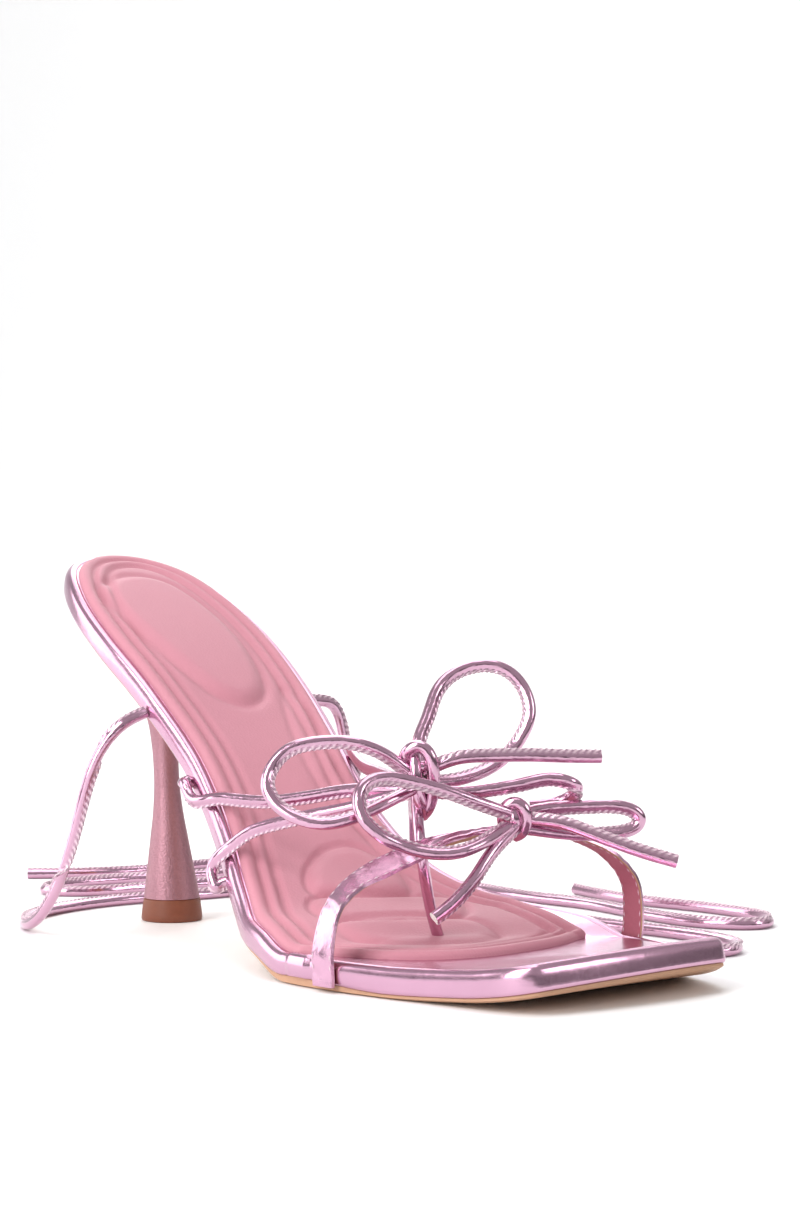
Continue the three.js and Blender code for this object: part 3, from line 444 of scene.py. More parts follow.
class Finish:
    """A material under construction."""

    def __init__(self, name, **sockets):
        self.material = bpy.data.materials.new(name)
        self.material.use_nodes = True
        self.tree = self.material.node_tree
        self.shader = self.tree.nodes["Principled BSDF"]
        for socket, value in sockets.items():
            self.set(socket.replace("_", " "), value)

    def set(self, socket, value):
        plug(self.tree, self.shader.inputs[socket], value)

    def node(self, kind, settings=None, sockets=None, out=0):
        node = self.tree.nodes.new(kind)
        for key, value in (settings or {}).items():
            setattr(node, key, value)
        for key, value in (sockets or {}).items():
            plug(self.tree, node.inputs[key], value)
        return Value(self.tree, node.outputs[out])

    def place(self, stretch=(1, 1, 1)):
        at = self.node("ShaderNodeTexCoord", out="Object")
        return self.node("ShaderNodeMapping", sockets={"Vector": at, "Scale": stretch})

    def strip(self, stretch=(1, 1, 1)):
        at = self.node("ShaderNodeUVMap", {"uv_map": "strip"})
        return self.node("ShaderNodeMapping", sockets={"Vector": at, "Scale": stretch})

    def noise(self, where, scale, detail=3.0, roughness=0.5):
        return self.node("ShaderNodeTexNoise",
                         sockets={"Vector": where, "Scale": scale, "Detail": detail, "Roughness": roughness})

    def cells(self, where, scale, randomness=1.0):
        return self.node("ShaderNodeTexVoronoi", {"feature": "F1"},
                         {"Vector": where, "Scale": scale, "Randomness": randomness}, "Distance")

    def ramp(self, value, stops):
        node = self.tree.nodes.new("ShaderNodeValToRGB")
        elements = node.color_ramp.elements
        while len(elements) < len(stops):
            elements.new(0.5)
        for element, (at, colour) in zip(elements, stops):
            element.position = at
            element.color = (*colour, 1)
        plug(self.tree, node.inputs["Fac"], value)
        return Value(self.tree, node.outputs["Color"])

    def mix(self, factor, a, b):
        node = self.tree.nodes.new("ShaderNodeMix")
        node.data_type = "RGBA"
        plug(self.tree, node.inputs["Factor"], factor)
        plug(self.tree, node.inputs["A"], a if isinstance(a, Value) else (*a, 1))
        plug(self.tree, node.inputs["B"], b if isinstance(b, Value) else (*b, 1))
        return Value(self.tree, node.outputs["Result"])

    def bump(self, height, distance, strength=1.0, normal=None):
        sockets = {"Height": height, "Distance": distance, "Strength": strength}
        if normal is not None:
            sockets["Normal"] = normal
        return self.node("ShaderNodeBump", sockets=sockets)


def finish_of(build):
    """Material that a function builds, made once and found by the function's name."""
    return bpy.data.materials.get(build.__name__) or build(build.__name__)


def mirror_foil(name="mirror_foil"):
    colours = bpy.context.scene.sandal_colours
    f = Finish(name, Metallic=1.0, IOR=1.5)
    at = f.place()
    drift = f.noise(at, 60, 3)
    deep = tuple(c * 0.82 for c in colours.foil)
    f.set("Base Color", f.mix(drift, tuple(colours.foil), deep))
    fine = f.noise(at, 1400, 2)
    f.set("Roughness", drift * 0.1 + fine * 0.1 + 0.12)
    crinkle = f.noise(at, 210, 2)
    f.set("Normal", f.bump(crinkle * 0.9 + fine * 0.12, 0.00009, 1.0))
    return f.material


def strap_foil(name="strap_foil"):
    colours = bpy.context.scene.sandal_colours
    f = Finish(name, Metallic=1.0, IOR=1.5)
    at = f.place()
    fold = f.noise(at, 260, 3)
    f.set("Base Color", f.mix(fold, tuple(c * 0.85 for c in colours.foil),
                              tuple(min(1, c * 1.15) for c in colours.foil)))
    f.set("Roughness", fold * 0.15 + 0.16)
    sharp = f.node("ShaderNodeTexVoronoi", {"feature": "SMOOTH_F1"},
                   {"Vector": at, "Scale": 330.0, "Smoothness": 0.4}, "Distance")
    f.set("Normal", f.bump(fold + sharp * 0.5, 0.0003, 0.5))
    return f.material


def cord_foil(name="cord_foil"):
    colours = bpy.context.scene.sandal_colours
    sizes = bpy.context.scene.sandal_sizes
    f = Finish(name, IOR=1.5, Coat_Weight=0.2, Coat_Roughness=0.05)
    at = f.place()
    seam = f.node("ShaderNodeAttribute", {"attribute_name": "seam"}, out="Fac")
    run = f.strip((1.0 / (sizes.seam_pitch * 1000), 1, 1))
    wave = f.node("ShaderNodeTexWave", {"wave_type": "BANDS", "bands_direction": "DIAGONAL"},
                  {"Vector": run, "Scale": 0.45, "Distortion": 0.5, "Detail": 1.0}, "Fac")
    drift = f.noise(at, 90, 2)
    smooth_side = f.mix(drift, tuple(colours.foil), tuple(c * 0.82 for c in colours.foil))
    # Seam: thread colour on the stitches, and the foil darkened to 0.55 between them as painted shade in the
    # gaps
    thread = f.mix(wave, tuple(c * 0.55 for c in colours.foil), tuple(colours.thread))
    f.set("Base Color", f.mix(seam, smooth_side, thread))
    f.set("Metallic", 1.0 - seam * 0.55)
    f.set("Roughness", seam * 0.26 + drift * 0.1 + 0.08)
    wrinkle = f.noise(f.strip((0.5, 3.0, 1)), 1.0, 2)
    f.set("Normal", f.bump(wrinkle * 0.35 + wave * seam * 1.2, 0.00025, 0.6))
    return f.material


def cord_core(name="cord_core"):
    colours = bpy.context.scene.sandal_colours
    f = Finish(name, Roughness=0.85)
    at = f.place()
    fibre = f.cells(at, 3500)
    f.set("Base Color", f.ramp(fibre, [(0.0, (0.62, 0.6, 0.55)), (0.6, tuple(colours.core))]))
    f.set("Normal", f.bump(fibre, 0.0002, 0.7))
    return f.material


def sock_leather(name="sock_leather"):
    colours = bpy.context.scene.sandal_colours
    f = Finish(name, IOR=1.45, Sheen_Weight=0.12, Sheen_Roughness=0.5)
    at = f.place()
    grain = f.cells(at, 1500)
    patch = f.noise(at, 45, 4)
    tint = tuple(colours.sock)
    f.set("Base Color", f.mix(patch, tuple(c * 0.93 for c in tint), tuple(min(1, c * 1.05) for c in tint)))
    f.set("Roughness", patch * 0.12 + grain * 0.1 + 0.5)
    pores = f.noise(at, 2600, 2)
    f.set("Normal", f.bump(grain * 0.7 + pores * 0.5, 0.00012, 0.55))
    return f.material


def heel_satin(name="heel_satin"):
    colours = bpy.context.scene.sandal_colours
    f = Finish(name, Metallic=0.75, IOR=1.5)
    at = f.place()
    grain = f.cells(at, 1900)
    fleck = f.noise(at, 1300, 3)
    tint = tuple(colours.heel)
    f.set("Base Color", f.mix(fleck, tuple(c * 0.82 for c in tint), tuple(min(1, c * 1.12) for c in tint)))
    f.set("Roughness", grain * 0.12 + fleck * 0.1 + 0.38)
    f.set("Normal", f.bump(grain + fleck * 0.6, 0.00012, 0.6))
    return f.material


def lift_rubber(name="lift_rubber"):
    colours = bpy.context.scene.sandal_colours
    f = Finish(name, IOR=1.45)
    at = f.place()
    speck = f.noise(at, 900, 4)
    tint = tuple(colours.lift)
    f.set("Base Color", f.mix(speck, tuple(c * 0.8 for c in tint), tint))
    f.set("Roughness", speck * 0.2 + 0.38)
    f.set("Normal", f.bump(speck, 0.0001, 0.5))
    return f.material


def outsole_resin(name="outsole_resin"):
    colours = bpy.context.scene.sandal_colours
    f = Finish(name, IOR=1.45)
    at = f.place()
    scuff = f.noise(at, 500, 4)
    tint = tuple(colours.outsole)
    f.set("Base Color", f.mix(scuff, tuple(c * 0.85 for c in tint), tint))
    f.set("Roughness", scuff * 0.2 + 0.45)
    f.set("Normal", f.bump(scuff, 0.0001, 0.4))
    return f.material


def strap_lining(name="strap_lining"):
    colours = bpy.context.scene.sandal_colours
    f = Finish(name, IOR=1.45)
    at = f.place()
    nap = f.noise(at, 1500, 4)
    tint = tuple(colours.lining)
    f.set("Base Color", f.mix(nap, tuple(c * 0.85 for c in tint), tint))
    f.set("Roughness", nap * 0.15 + 0.6)
    f.set("Normal", f.bump(nap, 0.0001, 0.5))
    return f.material


def stitch_thread(name="stitch_thread"):
    colours = bpy.context.scene.sandal_colours
    f = Finish(name, IOR=1.45)
    ply = f.noise(f.place((1, 1, 1)), 2500, 2)
    tint = tuple(colours.thread)
    f.set("Base Color", f.mix(ply, tuple(c * 0.75 for c in tint), tint))
    f.set("Roughness", ply * 0.2 + 0.4)
    return f.material


# Mesh helpers

def new_piece(name, vertices, faces, materials, indices=None, strips=None, seam=None, angle=40.0):
    """A mesh object in metres from points in millimetres, smooth where it turns gently."""
    mesh = bpy.data.meshes.new(name)
    mesh.from_pydata((np.asarray(vertices, float) * MM).tolist(), [], faces)
    for material in materials:
        mesh.materials.append(material)
    if indices is not None:
        mesh.polygons.foreach_set("material_index", np.asarray(indices, dtype=np.int32))
    if strips is not None:
        layer = mesh.uv_layers.new(name="strip")
        layer.data.foreach_set("uv", np.asarray(strips, dtype=np.float32).ravel())
    if seam is not None:
        mark = mesh.attributes.new("seam", "FLOAT", "POINT")
        mark.data.foreach_set("value", np.asarray(seam, dtype=np.float32))
    mesh.update()
    piece = bpy.data.objects.new(name, mesh)
    bpy.context.scene.collection.objects.link(piece)
    bpy.ops.object.select_all(action="DESELECT")
    piece.select_set(True)
    bpy.context.view_layer.objects.active = piece
    bpy.ops.object.shade_smooth_by_angle(angle=math.radians(angle))
    return piece


def merge_close(piece, distance=1e-5):
    bpy.ops.object.select_all(action="DESELECT")
    piece.select_set(True)
    bpy.context.view_layer.objects.active = piece
    bpy.ops.object.mode_set(mode="EDIT")
    bpy.ops.mesh.select_all(action="SELECT")
    bpy.ops.mesh.remove_doubles(threshold=distance)
    bpy.ops.mesh.dissolve_degenerate(threshold=distance * 0.2)
    bpy.ops.mesh.normals_make_consistent(inside=False)
    bpy.ops.object.mode_set(mode="OBJECT")


def grid_faces(rows, columns, start=0, closed=True, flip=False):
    faces = []
    span = columns if closed else columns - 1
    for j in range(rows - 1):
        for i in range(span):
            k = (i + 1) % columns
            quad = (start + j * columns + i, start + j * columns + k,
                    start + (j + 1) * columns + k, start + (j + 1) * columns + i)
            faces.append(quad[::-1] if flip else quad)
    return faces


def ring_solid(name, rings, materials, indices=None, angle=40.0):
    """Closed piece over rings of points whose first and last rings fold flat on their own middle line."""
    vertices = np.concatenate(rings)
    piece = new_piece(name, vertices, grid_faces(len(rings), len(rings[0])), materials, indices, angle=angle)
    merge_close(piece)
    return piece


def seam_frames(path, side):
    """Tangent, seam direction and third axis at each point of a cord."""
    t = np.gradient(path, axis=0)
    t /= np.linalg.norm(t, axis=1, keepdims=True)
    s = side - t * (side * t).sum(1, keepdims=True)
    s /= np.linalg.norm(s, axis=1, keepdims=True)
    for _ in range(12):
        s[1:-1] = (s[:-2] + 2 * s[1:-1] + s[2:]) / 4
        s -= t * (s * t).sum(1, keepdims=True)
        s /= np.linalg.norm(s, axis=1, keepdims=True)
    return t, s, np.cross(t, s)


def cord_piece(name, path, side, diameter=CORD, flange=None, cut=True):
    """Round foil cord with its stitched seam standing on one side and a cut core at each end."""
    sizes = bpy.context.scene.sandal_sizes
    flange = sizes.seam_height * 1000 if flange is None else flange
    _, s, b = seam_frames(path, side)
    r = diameter / 2
    run = np.r_[0, np.cumsum(np.linalg.norm(np.diff(path, axis=0), axis=1))]
    sides = 13
    angles = np.radians(np.linspace(24, 336, sides))
    a = np.tile(r * np.cos(angles), (len(path), 1))
    c = np.tile(r * np.sin(angles), (len(path), 1))
    beat = 2 * np.pi * run / (sizes.seam_pitch * 1000)
    tip = r + flange * (0.86 + 0.14 * np.sin(beat))
    sway = 0.16 * np.sin(beat + 1.2)
    a = np.column_stack([a, tip - 0.12, tip, tip - 0.12])
    c = np.column_stack([c, sway - 0.3, sway, sway + 0.3])
    n = sides + 3
    points = (path[:, None] + a[..., None] * s[:, None] + c[..., None] * b[:, None]).reshape(-1, 3)
    seam = np.tile(np.r_[np.zeros(sides), 1, 1, 1], len(path))
    seam[0::n] = 0.5
    faces, strips, indices = [], [], []
    for j in range(len(path) - 1):
        for i in range(n):
            k = (i + 1) % n
            faces.append((j * n + i, j * n + k, (j + 1) * n + k, (j + 1) * n + i))
            v0, v1 = i / n * 10, (i + 1) / n * 10
            strips += [(run[j], v0), (run[j], v1), (run[j + 1], v1), (run[j + 1], v0)]
            indices.append(0)
    for j, order in ((0, -1), (len(path) - 1, 1)):
        centre = len(points)
        points = np.vstack([points, path[j]])
        seam = np.append(seam, 0)
        for i in range(n):
            k = (i + 1) % n
            faces.append((centre, j * n + i, j * n + k)[::order])
            strips += [(run[j], 5)] * 3
            indices.append(int(cut))
    return new_piece(name, points, faces, [finish_of(cord_foil), finish_of(cord_core)],
                     indices, strips, seam, angle=38.0)


def beside(side, share, lift, clearance):
    """Point beside the rim, over its edge by a clearance, at a lift up the side."""
    rows = np.linspace(1, len(OUTLINE), 4000)
    edge = side_points(side, rows)
    i = int(np.argmin(np.abs(edge[:, 0] - along_x(share))))
    p = edge[i]
    t = edge[min(i + 3, len(edge) - 1)] - edge[max(i - 3, 0)]
    out = np.array([-t[1], t[0]]) / np.hypot(*t)
    out *= np.sign(out[1]) * side
    q = p + out * clearance
    return lifted(q[0], q[1], lift)


REAR_KNOT = np.array([along_x(0.711), -0.115 * BALL_WIDTH, KNOT_HEIGHT])
FRONT_KNOT = np.array([along_x(0.768), 0.107 * BALL_WIDTH, TOE_KNOT_HEIGHT])
BOW_FACE = np.array([0.75, -0.45, 0.48]) / np.linalg.norm([0.75, -0.45, 0.48])
HUB = REAR_KNOT - BOW_FACE * KNOT_SETBACK


# Sizes and colours

class SandalSizes(bpy.types.PropertyGroup):
    """Sizes of the fine detail."""

    seam_pitch: bpy.props.FloatProperty(name="Seam pitch",
                                        description="Distance between teeth of a cord's stitched seam",
                                        default=0.0012, min=0.0008, unit="LENGTH")
    seam_height: bpy.props.FloatProperty(name="Seam height", description="Seam standing out of a cord",
                                         default=0.00075, min=0.0001, unit="LENGTH")
    stitch_pitch: bpy.props.FloatProperty(name="Stitch pitch",
                                          description="Distance between stitches on the toe strap",
                                          default=0.0023, min=0.001, unit="LENGTH")
    groove_depth: bpy.props.FloatProperty(name="Groove depth",
                                          description="Depth of the sock's pressed lines", default=0.0008,
                                          min=0.0, unit="LENGTH")
    pad_rise: bpy.props.FloatProperty(name="Pad rise", description="Rise of the sock's heel and ball pads",
                                      default=0.0012, min=0.0, unit="LENGTH")


class SandalColours(bpy.types.PropertyGroup):
    """Colours of the finishes."""

    foil: bpy.props.FloatVectorProperty(name="Foil", description="Metallic foil of the rim, straps and cords",
                                        default=(0.68, 0.4, 0.54), min=0, max=1, subtype="COLOR")
    thread: bpy.props.FloatVectorProperty(name="Thread", description="Stitching thread",
                                          default=(0.9, 0.7, 0.77), min=0, max=1, subtype="COLOR")
    sock: bpy.props.FloatVectorProperty(name="Sock", description="Padded sock's lining",
                                        default=(0.58, 0.235, 0.295), min=0, max=1, subtype="COLOR")
    heel: bpy.props.FloatVectorProperty(name="Heel", description="Heel's satin wrap",
                                        default=(0.4, 0.205, 0.245), min=0, max=1, subtype="COLOR")
    lift: bpy.props.FloatVectorProperty(name="Top lift", description="Heel tip", default=(0.23, 0.07, 0.037),
                                        min=0, max=1, subtype="COLOR")
    outsole: bpy.props.FloatVectorProperty(name="Outsole", description="Outsole and cut edges",
                                           default=(0.55, 0.31, 0.19), min=0, max=1, subtype="COLOR")
    lining: bpy.props.FloatVectorProperty(name="Strap lining", description="Underside of the toe strap",
                                          default=(0.5, 0.15, 0.2), min=0, max=1, subtype="COLOR")
    core: bpy.props.FloatVectorProperty(name="Cord core", description="Core at a cord's cut end",
                                        default=(0.82, 0.79, 0.74), min=0, max=1, subtype="COLOR")


# Pieces

class SANDAL_OT_camera(bpy.types.Operator):
    """Place the camera at the photograph's angle."""

    bl_idname = "sandal.camera"
    bl_label = "Camera"

    def execute(self, context):
        data = bpy.data.cameras.new("camera")
        data.sensor_width = 36.0
        data.lens = 75.5
        data.clip_end = 50
        camera = bpy.data.objects.new("camera", data)
        context.scene.collection.objects.link(camera)
        camera.location = (0.5810, -0.3653, 0.0861)
        camera.rotation_euler = Vector((-0.7955, 0.606, -0.0017)).to_track_quat("-Z", "Y").to_euler()
        context.scene.camera = camera
        return {"FINISHED"}


def declare_cord(piece, nodes):
    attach(piece, "root")
    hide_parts(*nodes)


class SANDAL_OT_ties(bpy.types.Operator):
    """Ankle ties, laid down uncoiled."""

    bl_idname = "sandal.ties"
    bl_label = "Ankle ties"

    def execute(self, context):
        for name, (side, seat, route) in TIES.items():
            points = np.array([beside(side, seat, 0, GAP / 2), beside(side, seat, 0, 2 * CORD), *route])
            path = eased(even_path(points, 0.62), 170)
            path[:, 2] = np.maximum(path[:, 2], TIE_REST)
            run = np.linspace(0, 1, len(path))[:, None]
            lean = np.stack([0.5 * np.sin(run[:, 0] * 23), 0.5 * np.cos(run[:, 0] * 17), np.ones(len(path))],
                            1)
            piece = cord_piece(name + "_cord", path, lean)
            declare_cord(piece, [name])
        return {"FINISHED"}


# Ways that a tail's seam faces
SEAM_UP = (0.2, -0.1, 1.0)
SEAM_DOWN = (0.1, 0.5, -1.0)


class SANDAL_OT_bows(bpy.types.Operator):
    """Both cord bows, with their loops and tails."""

    bl_idname = "sandal.bows"
    bl_label = "Bows"

    def execute(self, context):
        for node, knot, cords in (("rear_bow", REAR_KNOT, REAR_BOW), ("front_bow", FRONT_KNOT, FRONT_BOW)):
            for part, rows in cords.items():
                path = eased(even_path(np.array(rows) * BOW_REACH + knot, 0.48), 30)
                loop = part.endswith("loop")
                turned = SEAM_UP if part in ("inner_tail", "upper_tail") else SEAM_DOWN
                side = path.mean(0) - path if loop else np.tile(turned, (len(path), 1))
                piece = cord_piece(node + "_" + part, path, side)
                declare_cord(piece, [node])
        return {"FINISHED"}


def below_board(p, share):
    """Plan points set below the board by a share of the outsole's thickness."""
    return lifted(p[:, 0], p[:, 1], -outsole_thickness(p[:, 0]) * share)


class SANDAL_OT_outsole(bpy.types.Operator):
    """Thin resin outsole."""

    bl_idname = "sandal.outsole"
    bl_label = "Outsole"

    def execute(self, context):
        loop = sole_loop()
        rim = inset(loop, OUTSOLE_INSET)
        spine = spine_of(rim, along_x(SPINE[0]), along_x(SPINE[1]))
        plans = ring_plans(rim, spine, [0, 0.5, 1.2, 3], 8)
        upper = [below_board(p, wrap_share(*p.T)) for p in plans]
        edge = [below_board(rim, q) for q in (0.7, 0.82)]
        lower = [below_board(p, q) for p, q in zip(plans[1:], [0.9] + [1] * 20)]
        piece = ring_solid("outsole_resin_layer", [*upper[::-1], *edge, *lower], [finish_of(outsole_resin)])
        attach(piece, "root")
        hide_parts("outsole")
        return {"FINISHED"}


# Rim from below the board over its edge to the toe top: distance in from the outline, lift
RIM_SECTION = [
    (0.95, -0.05), (0.3, 0.15), (0.12, 0.8), (0, 1.6), (0, 2.6), (0.16, 3.4), (0.6, 4.1), (1.2, 4.5),
    (1.8, 4.62), (2.3, 4.55),
]


class SANDAL_OT_footbed(bpy.types.Operator):
    """Foil-wrapped footbed with its raised rim and toe top."""

    bl_idname = "sandal.footbed"
    bl_label = "Footbed"

    def execute(self, context):
        loop = sole_loop(0.8)
        sock = sock_loop()
        share = share_of(loop[:, 0])
        patch = (loop[:, 1] < 0) & (share > PATCH[0]) & (share < PATCH[1])
        proud = np.where(patch, PATCH_PROUD, 0.0)
        section = np.array(RIM_SECTION)
        wall = []
        for off, lift in curve_points(section, np.linspace(0, 1, 19)):
            p = inset(loop, off - proud)
            drop = outsole_thickness(p[:, 0]) * (wrap_share(*p.T) - FOIL_OVERLAP) * max(0, 1 - lift / 1.6)
            wall.append(lifted(p[:, 0], p[:, 1], lift - drop + proud * (lift > 3.6)))
        inner = inset(loop, section[-1, 0])
        spine = spine_of(inner, along_x(SPINE[0]), along_x(SPINE[1]))
        plans = ring_plans(inner, spine, [0.25, 0.45, 0.7, 1.0, 1.5, 2.2, 3, 4, 5.2, 6.5, 8], 16)
        top = []
        for j, p in enumerate(plans):
            lift = np.full(len(p), BOARD - TOE_TOP_DROP)
            if j == 1:
                lift -= 0.12
            depth = signed_distance(sock, p[:, 0], p[:, 1])
            lift -= 0.9 * smooth((depth - 0.5) / 2.5)
            top.append(lifted(p[:, 0], p[:, 1], lift))
        under = inset(loop, section[0, 0])
        below = ring_plans(under, spine_of(under, along_x(SPINE[0]), along_x(SPINE[1])), [3], 6)
        floor = [below_board(p, wrap_share(*p.T) - FOIL_OVERLAP) for p in below]
        piece = ring_solid("foil_footbed", [*floor[::-1], *wall, *top], [finish_of(mirror_foil)], angle=60)
        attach(piece, "root")
        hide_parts("footbed")
        return {"FINISHED"}


HEEL_PAD = [(-9, -19), (9, -17.5), (22, -13), (30, -8), (33.5, -1), (32, 5), (28, 9), (13, 13), (-2, 11.5),
            (-14, 6), (-17.5, -2), (-15, -12)]
BALL_PAD = [(88, -16.2), (83, -15.5), (78, -11), (75, -4), (76, 3), (82, 7.5), (90, 8.5), (97, 5.5)]
BALL_BAR = [(89.5, -17), (92, -20.5), (98, -22.5), (103, -21.5), (114.5, 8), (110, 13), (103, 13.5),
            (98.5, 6)]
TOE_BAR = [(105, -22), (112, -23.5), (121, -20), (128.5, -11), (131.5, 0), (128, 8.5), (121, 10.5), (116, 8)]
ARCH_PAD = [(28, 15), (34, 11), (44, 7.5), (58, 5.5), (70, 7.5), (78, 12), (74, 15.5), (60, 14), (46, 14.5),
            (36, 17)]


def rounded(points, step=0.6):
    p = np.array(points, float)
    closed = np.vstack([p[-2:], p, p[:3]])
    n = len(closed) - 1
    u = np.linspace(2 / n, (2 + len(p)) / n, 40 * len(p) + 1)
    return even_polyline(curve_points(closed, u), step)[:-1]


# Outline, share of the pads' rise, share of the grooves' depth and the groove's half width
PADS = [
    (HEEL_PAD, 1.0, 0.9, 1.2), (BALL_PAD, 0.9, 1.0, 0.9), (BALL_BAR, 0.65, 0.9, 0.9),
    (TOE_BAR, 0.65, 0.8, 1.0), (ARCH_PAD, 0.45, 0.5, 1.1),
]
# Swells under the heel and ball: share of the length, across, half length, half width
SWELLS = [(0.2, -2, 27, 18), (0.62, -3, 30, 26)]
SWELL_CROWN = 0.35  # share of a swell at its full height


def sock_swell(x, y):
    """Soft swell of the sock under the heel and the ball, from 0 to 1."""
    return np.maximum(*(1 - smooth(np.hypot((x - along_x(a)) / long, (y - c) / wide) - SWELL_CROWN)
                        for a, c, long, wide in SWELLS))


def sock_relief(x, y, edge, rise, depth):
    """Pressed lines and raised pads of the sock, in millimetres above its plain surface."""
    h = 0.3 * np.exp(-(((edge - 1.8) / 1.1) ** 2))
    h -= depth * np.exp(-(((edge - 3.9) / 0.75) ** 2))
    h += 0.28 * np.exp(-(((edge - 5.6) / 1.0) ** 2))
    h -= depth * 1.15 * np.exp(-(((edge - 7.6) / 0.95) ** 2))
    for points, lift, groove, width in PADS:
        d = signed_distance(rounded(points), x, y)
        h += rise * lift * smooth((d + 0.2) / 4.5)
        h -= depth * groove * np.exp(-((d / width) ** 2))
    return h


class SANDAL_OT_sock(bpy.types.Operator):
    """Padded sock with its pressed lines and raised heel and ball pads."""

    bl_idname = "sandal.sock"
    bl_label = "Padded sock"

    def execute(self, context):
        sizes = context.scene.sandal_sizes
        loop = sock_loop(0.12, 0.75)
        spine = spine_of(loop, along_x(0.13), along_x(0.66))
        near = [0.15, 0.35, 0.6, 0.95, 1.35, 1.8, 2.3, 2.8, 3.3, 3.8, 4.3, 4.8, 5.4, 6, 6.6, 7.2, 7.8, 8.4,
                9.1, 9.9]
        plans = ring_plans(loop, spine, near, 26)
        seat = BOARD - RIM_RISE + GAP
        top = []
        for p in plans:
            x, y = p.T
            edge = distance_to(loop, x, y)
            roll = np.sqrt(np.clip(1 - (1 - np.clip(edge / 1.5, 0, 1)) ** 2, 0, 1))
            lift = seat + SOCK_EDGE * 0.45 + (SOCK - SOCK_EDGE * 0.45) * roll - 0.15 * smooth((edge - 3) / 8)
            lift += SOCK_CROWN * 0.6 * sock_swell(x, y) * smooth(edge / 6)
            lift += sock_relief(x, y, edge, sizes.pad_rise * 1000,
                                sizes.groove_depth * 1000) * smooth(edge / 1.2)
            top.append(lifted(x, y, lift))
        wall = [lifted(loop[:, 0], loop[:, 1], np.full(len(loop), seat + SOCK_EDGE * q)) for q in (0.0, 0.25)]
        below = ring_plans(loop, spine, [2], 8)
        floor = [lifted(p[:, 0], p[:, 1], np.full(len(p), seat)) for p in below]
        piece = ring_solid("padded_sock", [*floor[::-1], *wall, *top], [finish_of(sock_leather)], angle=70)
        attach(piece, "root")
        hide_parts("insole_pad")
        return {"FINISHED"}


class SANDAL_OT_heel(bpy.types.Operator):
    """Flared heel, cut to the sole's underside, and its top lift."""

    bl_idname = "sandal.heel"
    bl_label = "Heel"

    def execute(self, context):
        sides, levels = 96, 70
        seat = float(base_height(np.array(0.0), np.array(0.0))) - LIFT_HEIGHT
        t = np.linspace(0, 1.25, 500)
        u = np.linspace(0, 1, 2000)
        dense = curve_points(HEEL_SECTIONS, u)
        along = np.interp(t, dense[:, 0], dense[:, 1]) * HEEL_RADIUS
        across = np.interp(t, dense[:, 0], dense[:, 2]) * HEEL_RADIUS
        lean = HEEL_LEAN * np.minimum(t, 1)
        z = LIFT_HEIGHT + GAP * 0.3 + t * seat
        rings = np.empty((levels, sides, 3))
        for i in range(sides):
            a = 2 * math.pi * i / sides
            x, y = lean + along * math.cos(a), across * math.sin(a)
            under = lifted(x, y, -outsole_thickness(x) - GAP * 0.2)[:, 2]
            over = np.where(z > under)[0]
            last = over[0] if len(over) else len(t) - 1
            at = np.linspace(0, t[last], levels)
            rings[:, i] = np.stack([np.interp(at, t, x), np.interp(at, t, y), np.interp(at, t, z)], 1)
        foot = rings[0].mean(0) + (rings[0] - rings[0].mean(0)) * 0.96
        cap = [np.tile(rings[0].mean(0), (sides, 1)), foot]
        lid = rings[-1].mean(0)
        piece = ring_solid("heel_wrap", [*cap, *rings, np.tile(lid, (sides, 1))], [finish_of(heel_satin)],
                           angle=55)
        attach(piece, "root")
        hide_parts("heel")
        profile = [(0, 0), (TIP_RADIUS - 0.7, 0), (TIP_RADIUS - 0.2, 0.15), (TIP_RADIUS, 0.6),
                   (TIP_RADIUS - 0.12, 2.2), (TIP_RADIUS - 0.4, 4.4), (HEEL_RADIUS + 0.12, 5.75),
                   (HEEL_RADIUS - 0.15, 6.0), (0, 6.0)]
        angles = np.linspace(0, 2 * np.pi, 73)[:-1]
        ring = [np.stack([r * np.cos(angles), r * np.sin(angles), np.full(72, h)], 1) for r, h in profile]
        tip = ring_solid("heel_tip_lift", ring, [finish_of(lift_rubber)], angle=35)
        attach(tip, "root")
        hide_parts("top_lift")
        return {"FINISHED"}


# Foot of the toe strap beside the rim: lift, and how much closer it lies than its clearance
STRAP_FOOT = [(-1.1, 0.25), (BOARD * 0.5, 0.2), (BOARD * 1.3, 0)]


def strap_path():
    """Middle line of the toe strap, with its width share and the direction of its width."""
    off = STRAP_THICK / 2 + GAP
    rows = []
    for side, share in ((-1, TOE_STRAP[0][0]), (1, TOE_STRAP[-1][0])):
        out = beside(side, share, 0, 1) - beside(side, share, 0, 0)
        turn = -out[0] / out[1]
        foot = [(beside(side, share, lift, off - tuck), 1, turn, 0) for lift, tuck in STRAP_FOOT]
        rows.append(foot if side < 0 else foot[::-1])
    middle = [(np.array([along_x(a), c * BALL_WIDTH, h * TOE_KNOT_HEIGHT]), w, 0, lean)
              for a, c, h, w, lean in TOE_STRAP]
    rows = [*rows[0], *middle, *rows[1]]
    points = np.array([r[0] for r in rows])
    shape = np.array([r[1:] for r in rows], float)
    u = np.linspace(0, 1, 900)
    p = curve_points(points, u)
    width, turn, lean = (np.interp(u, np.linspace(0, 1, len(rows)), shape[:, k]) for k in range(3))
    return p, width, np.stack([np.ones_like(u), turn, -lean], 1)


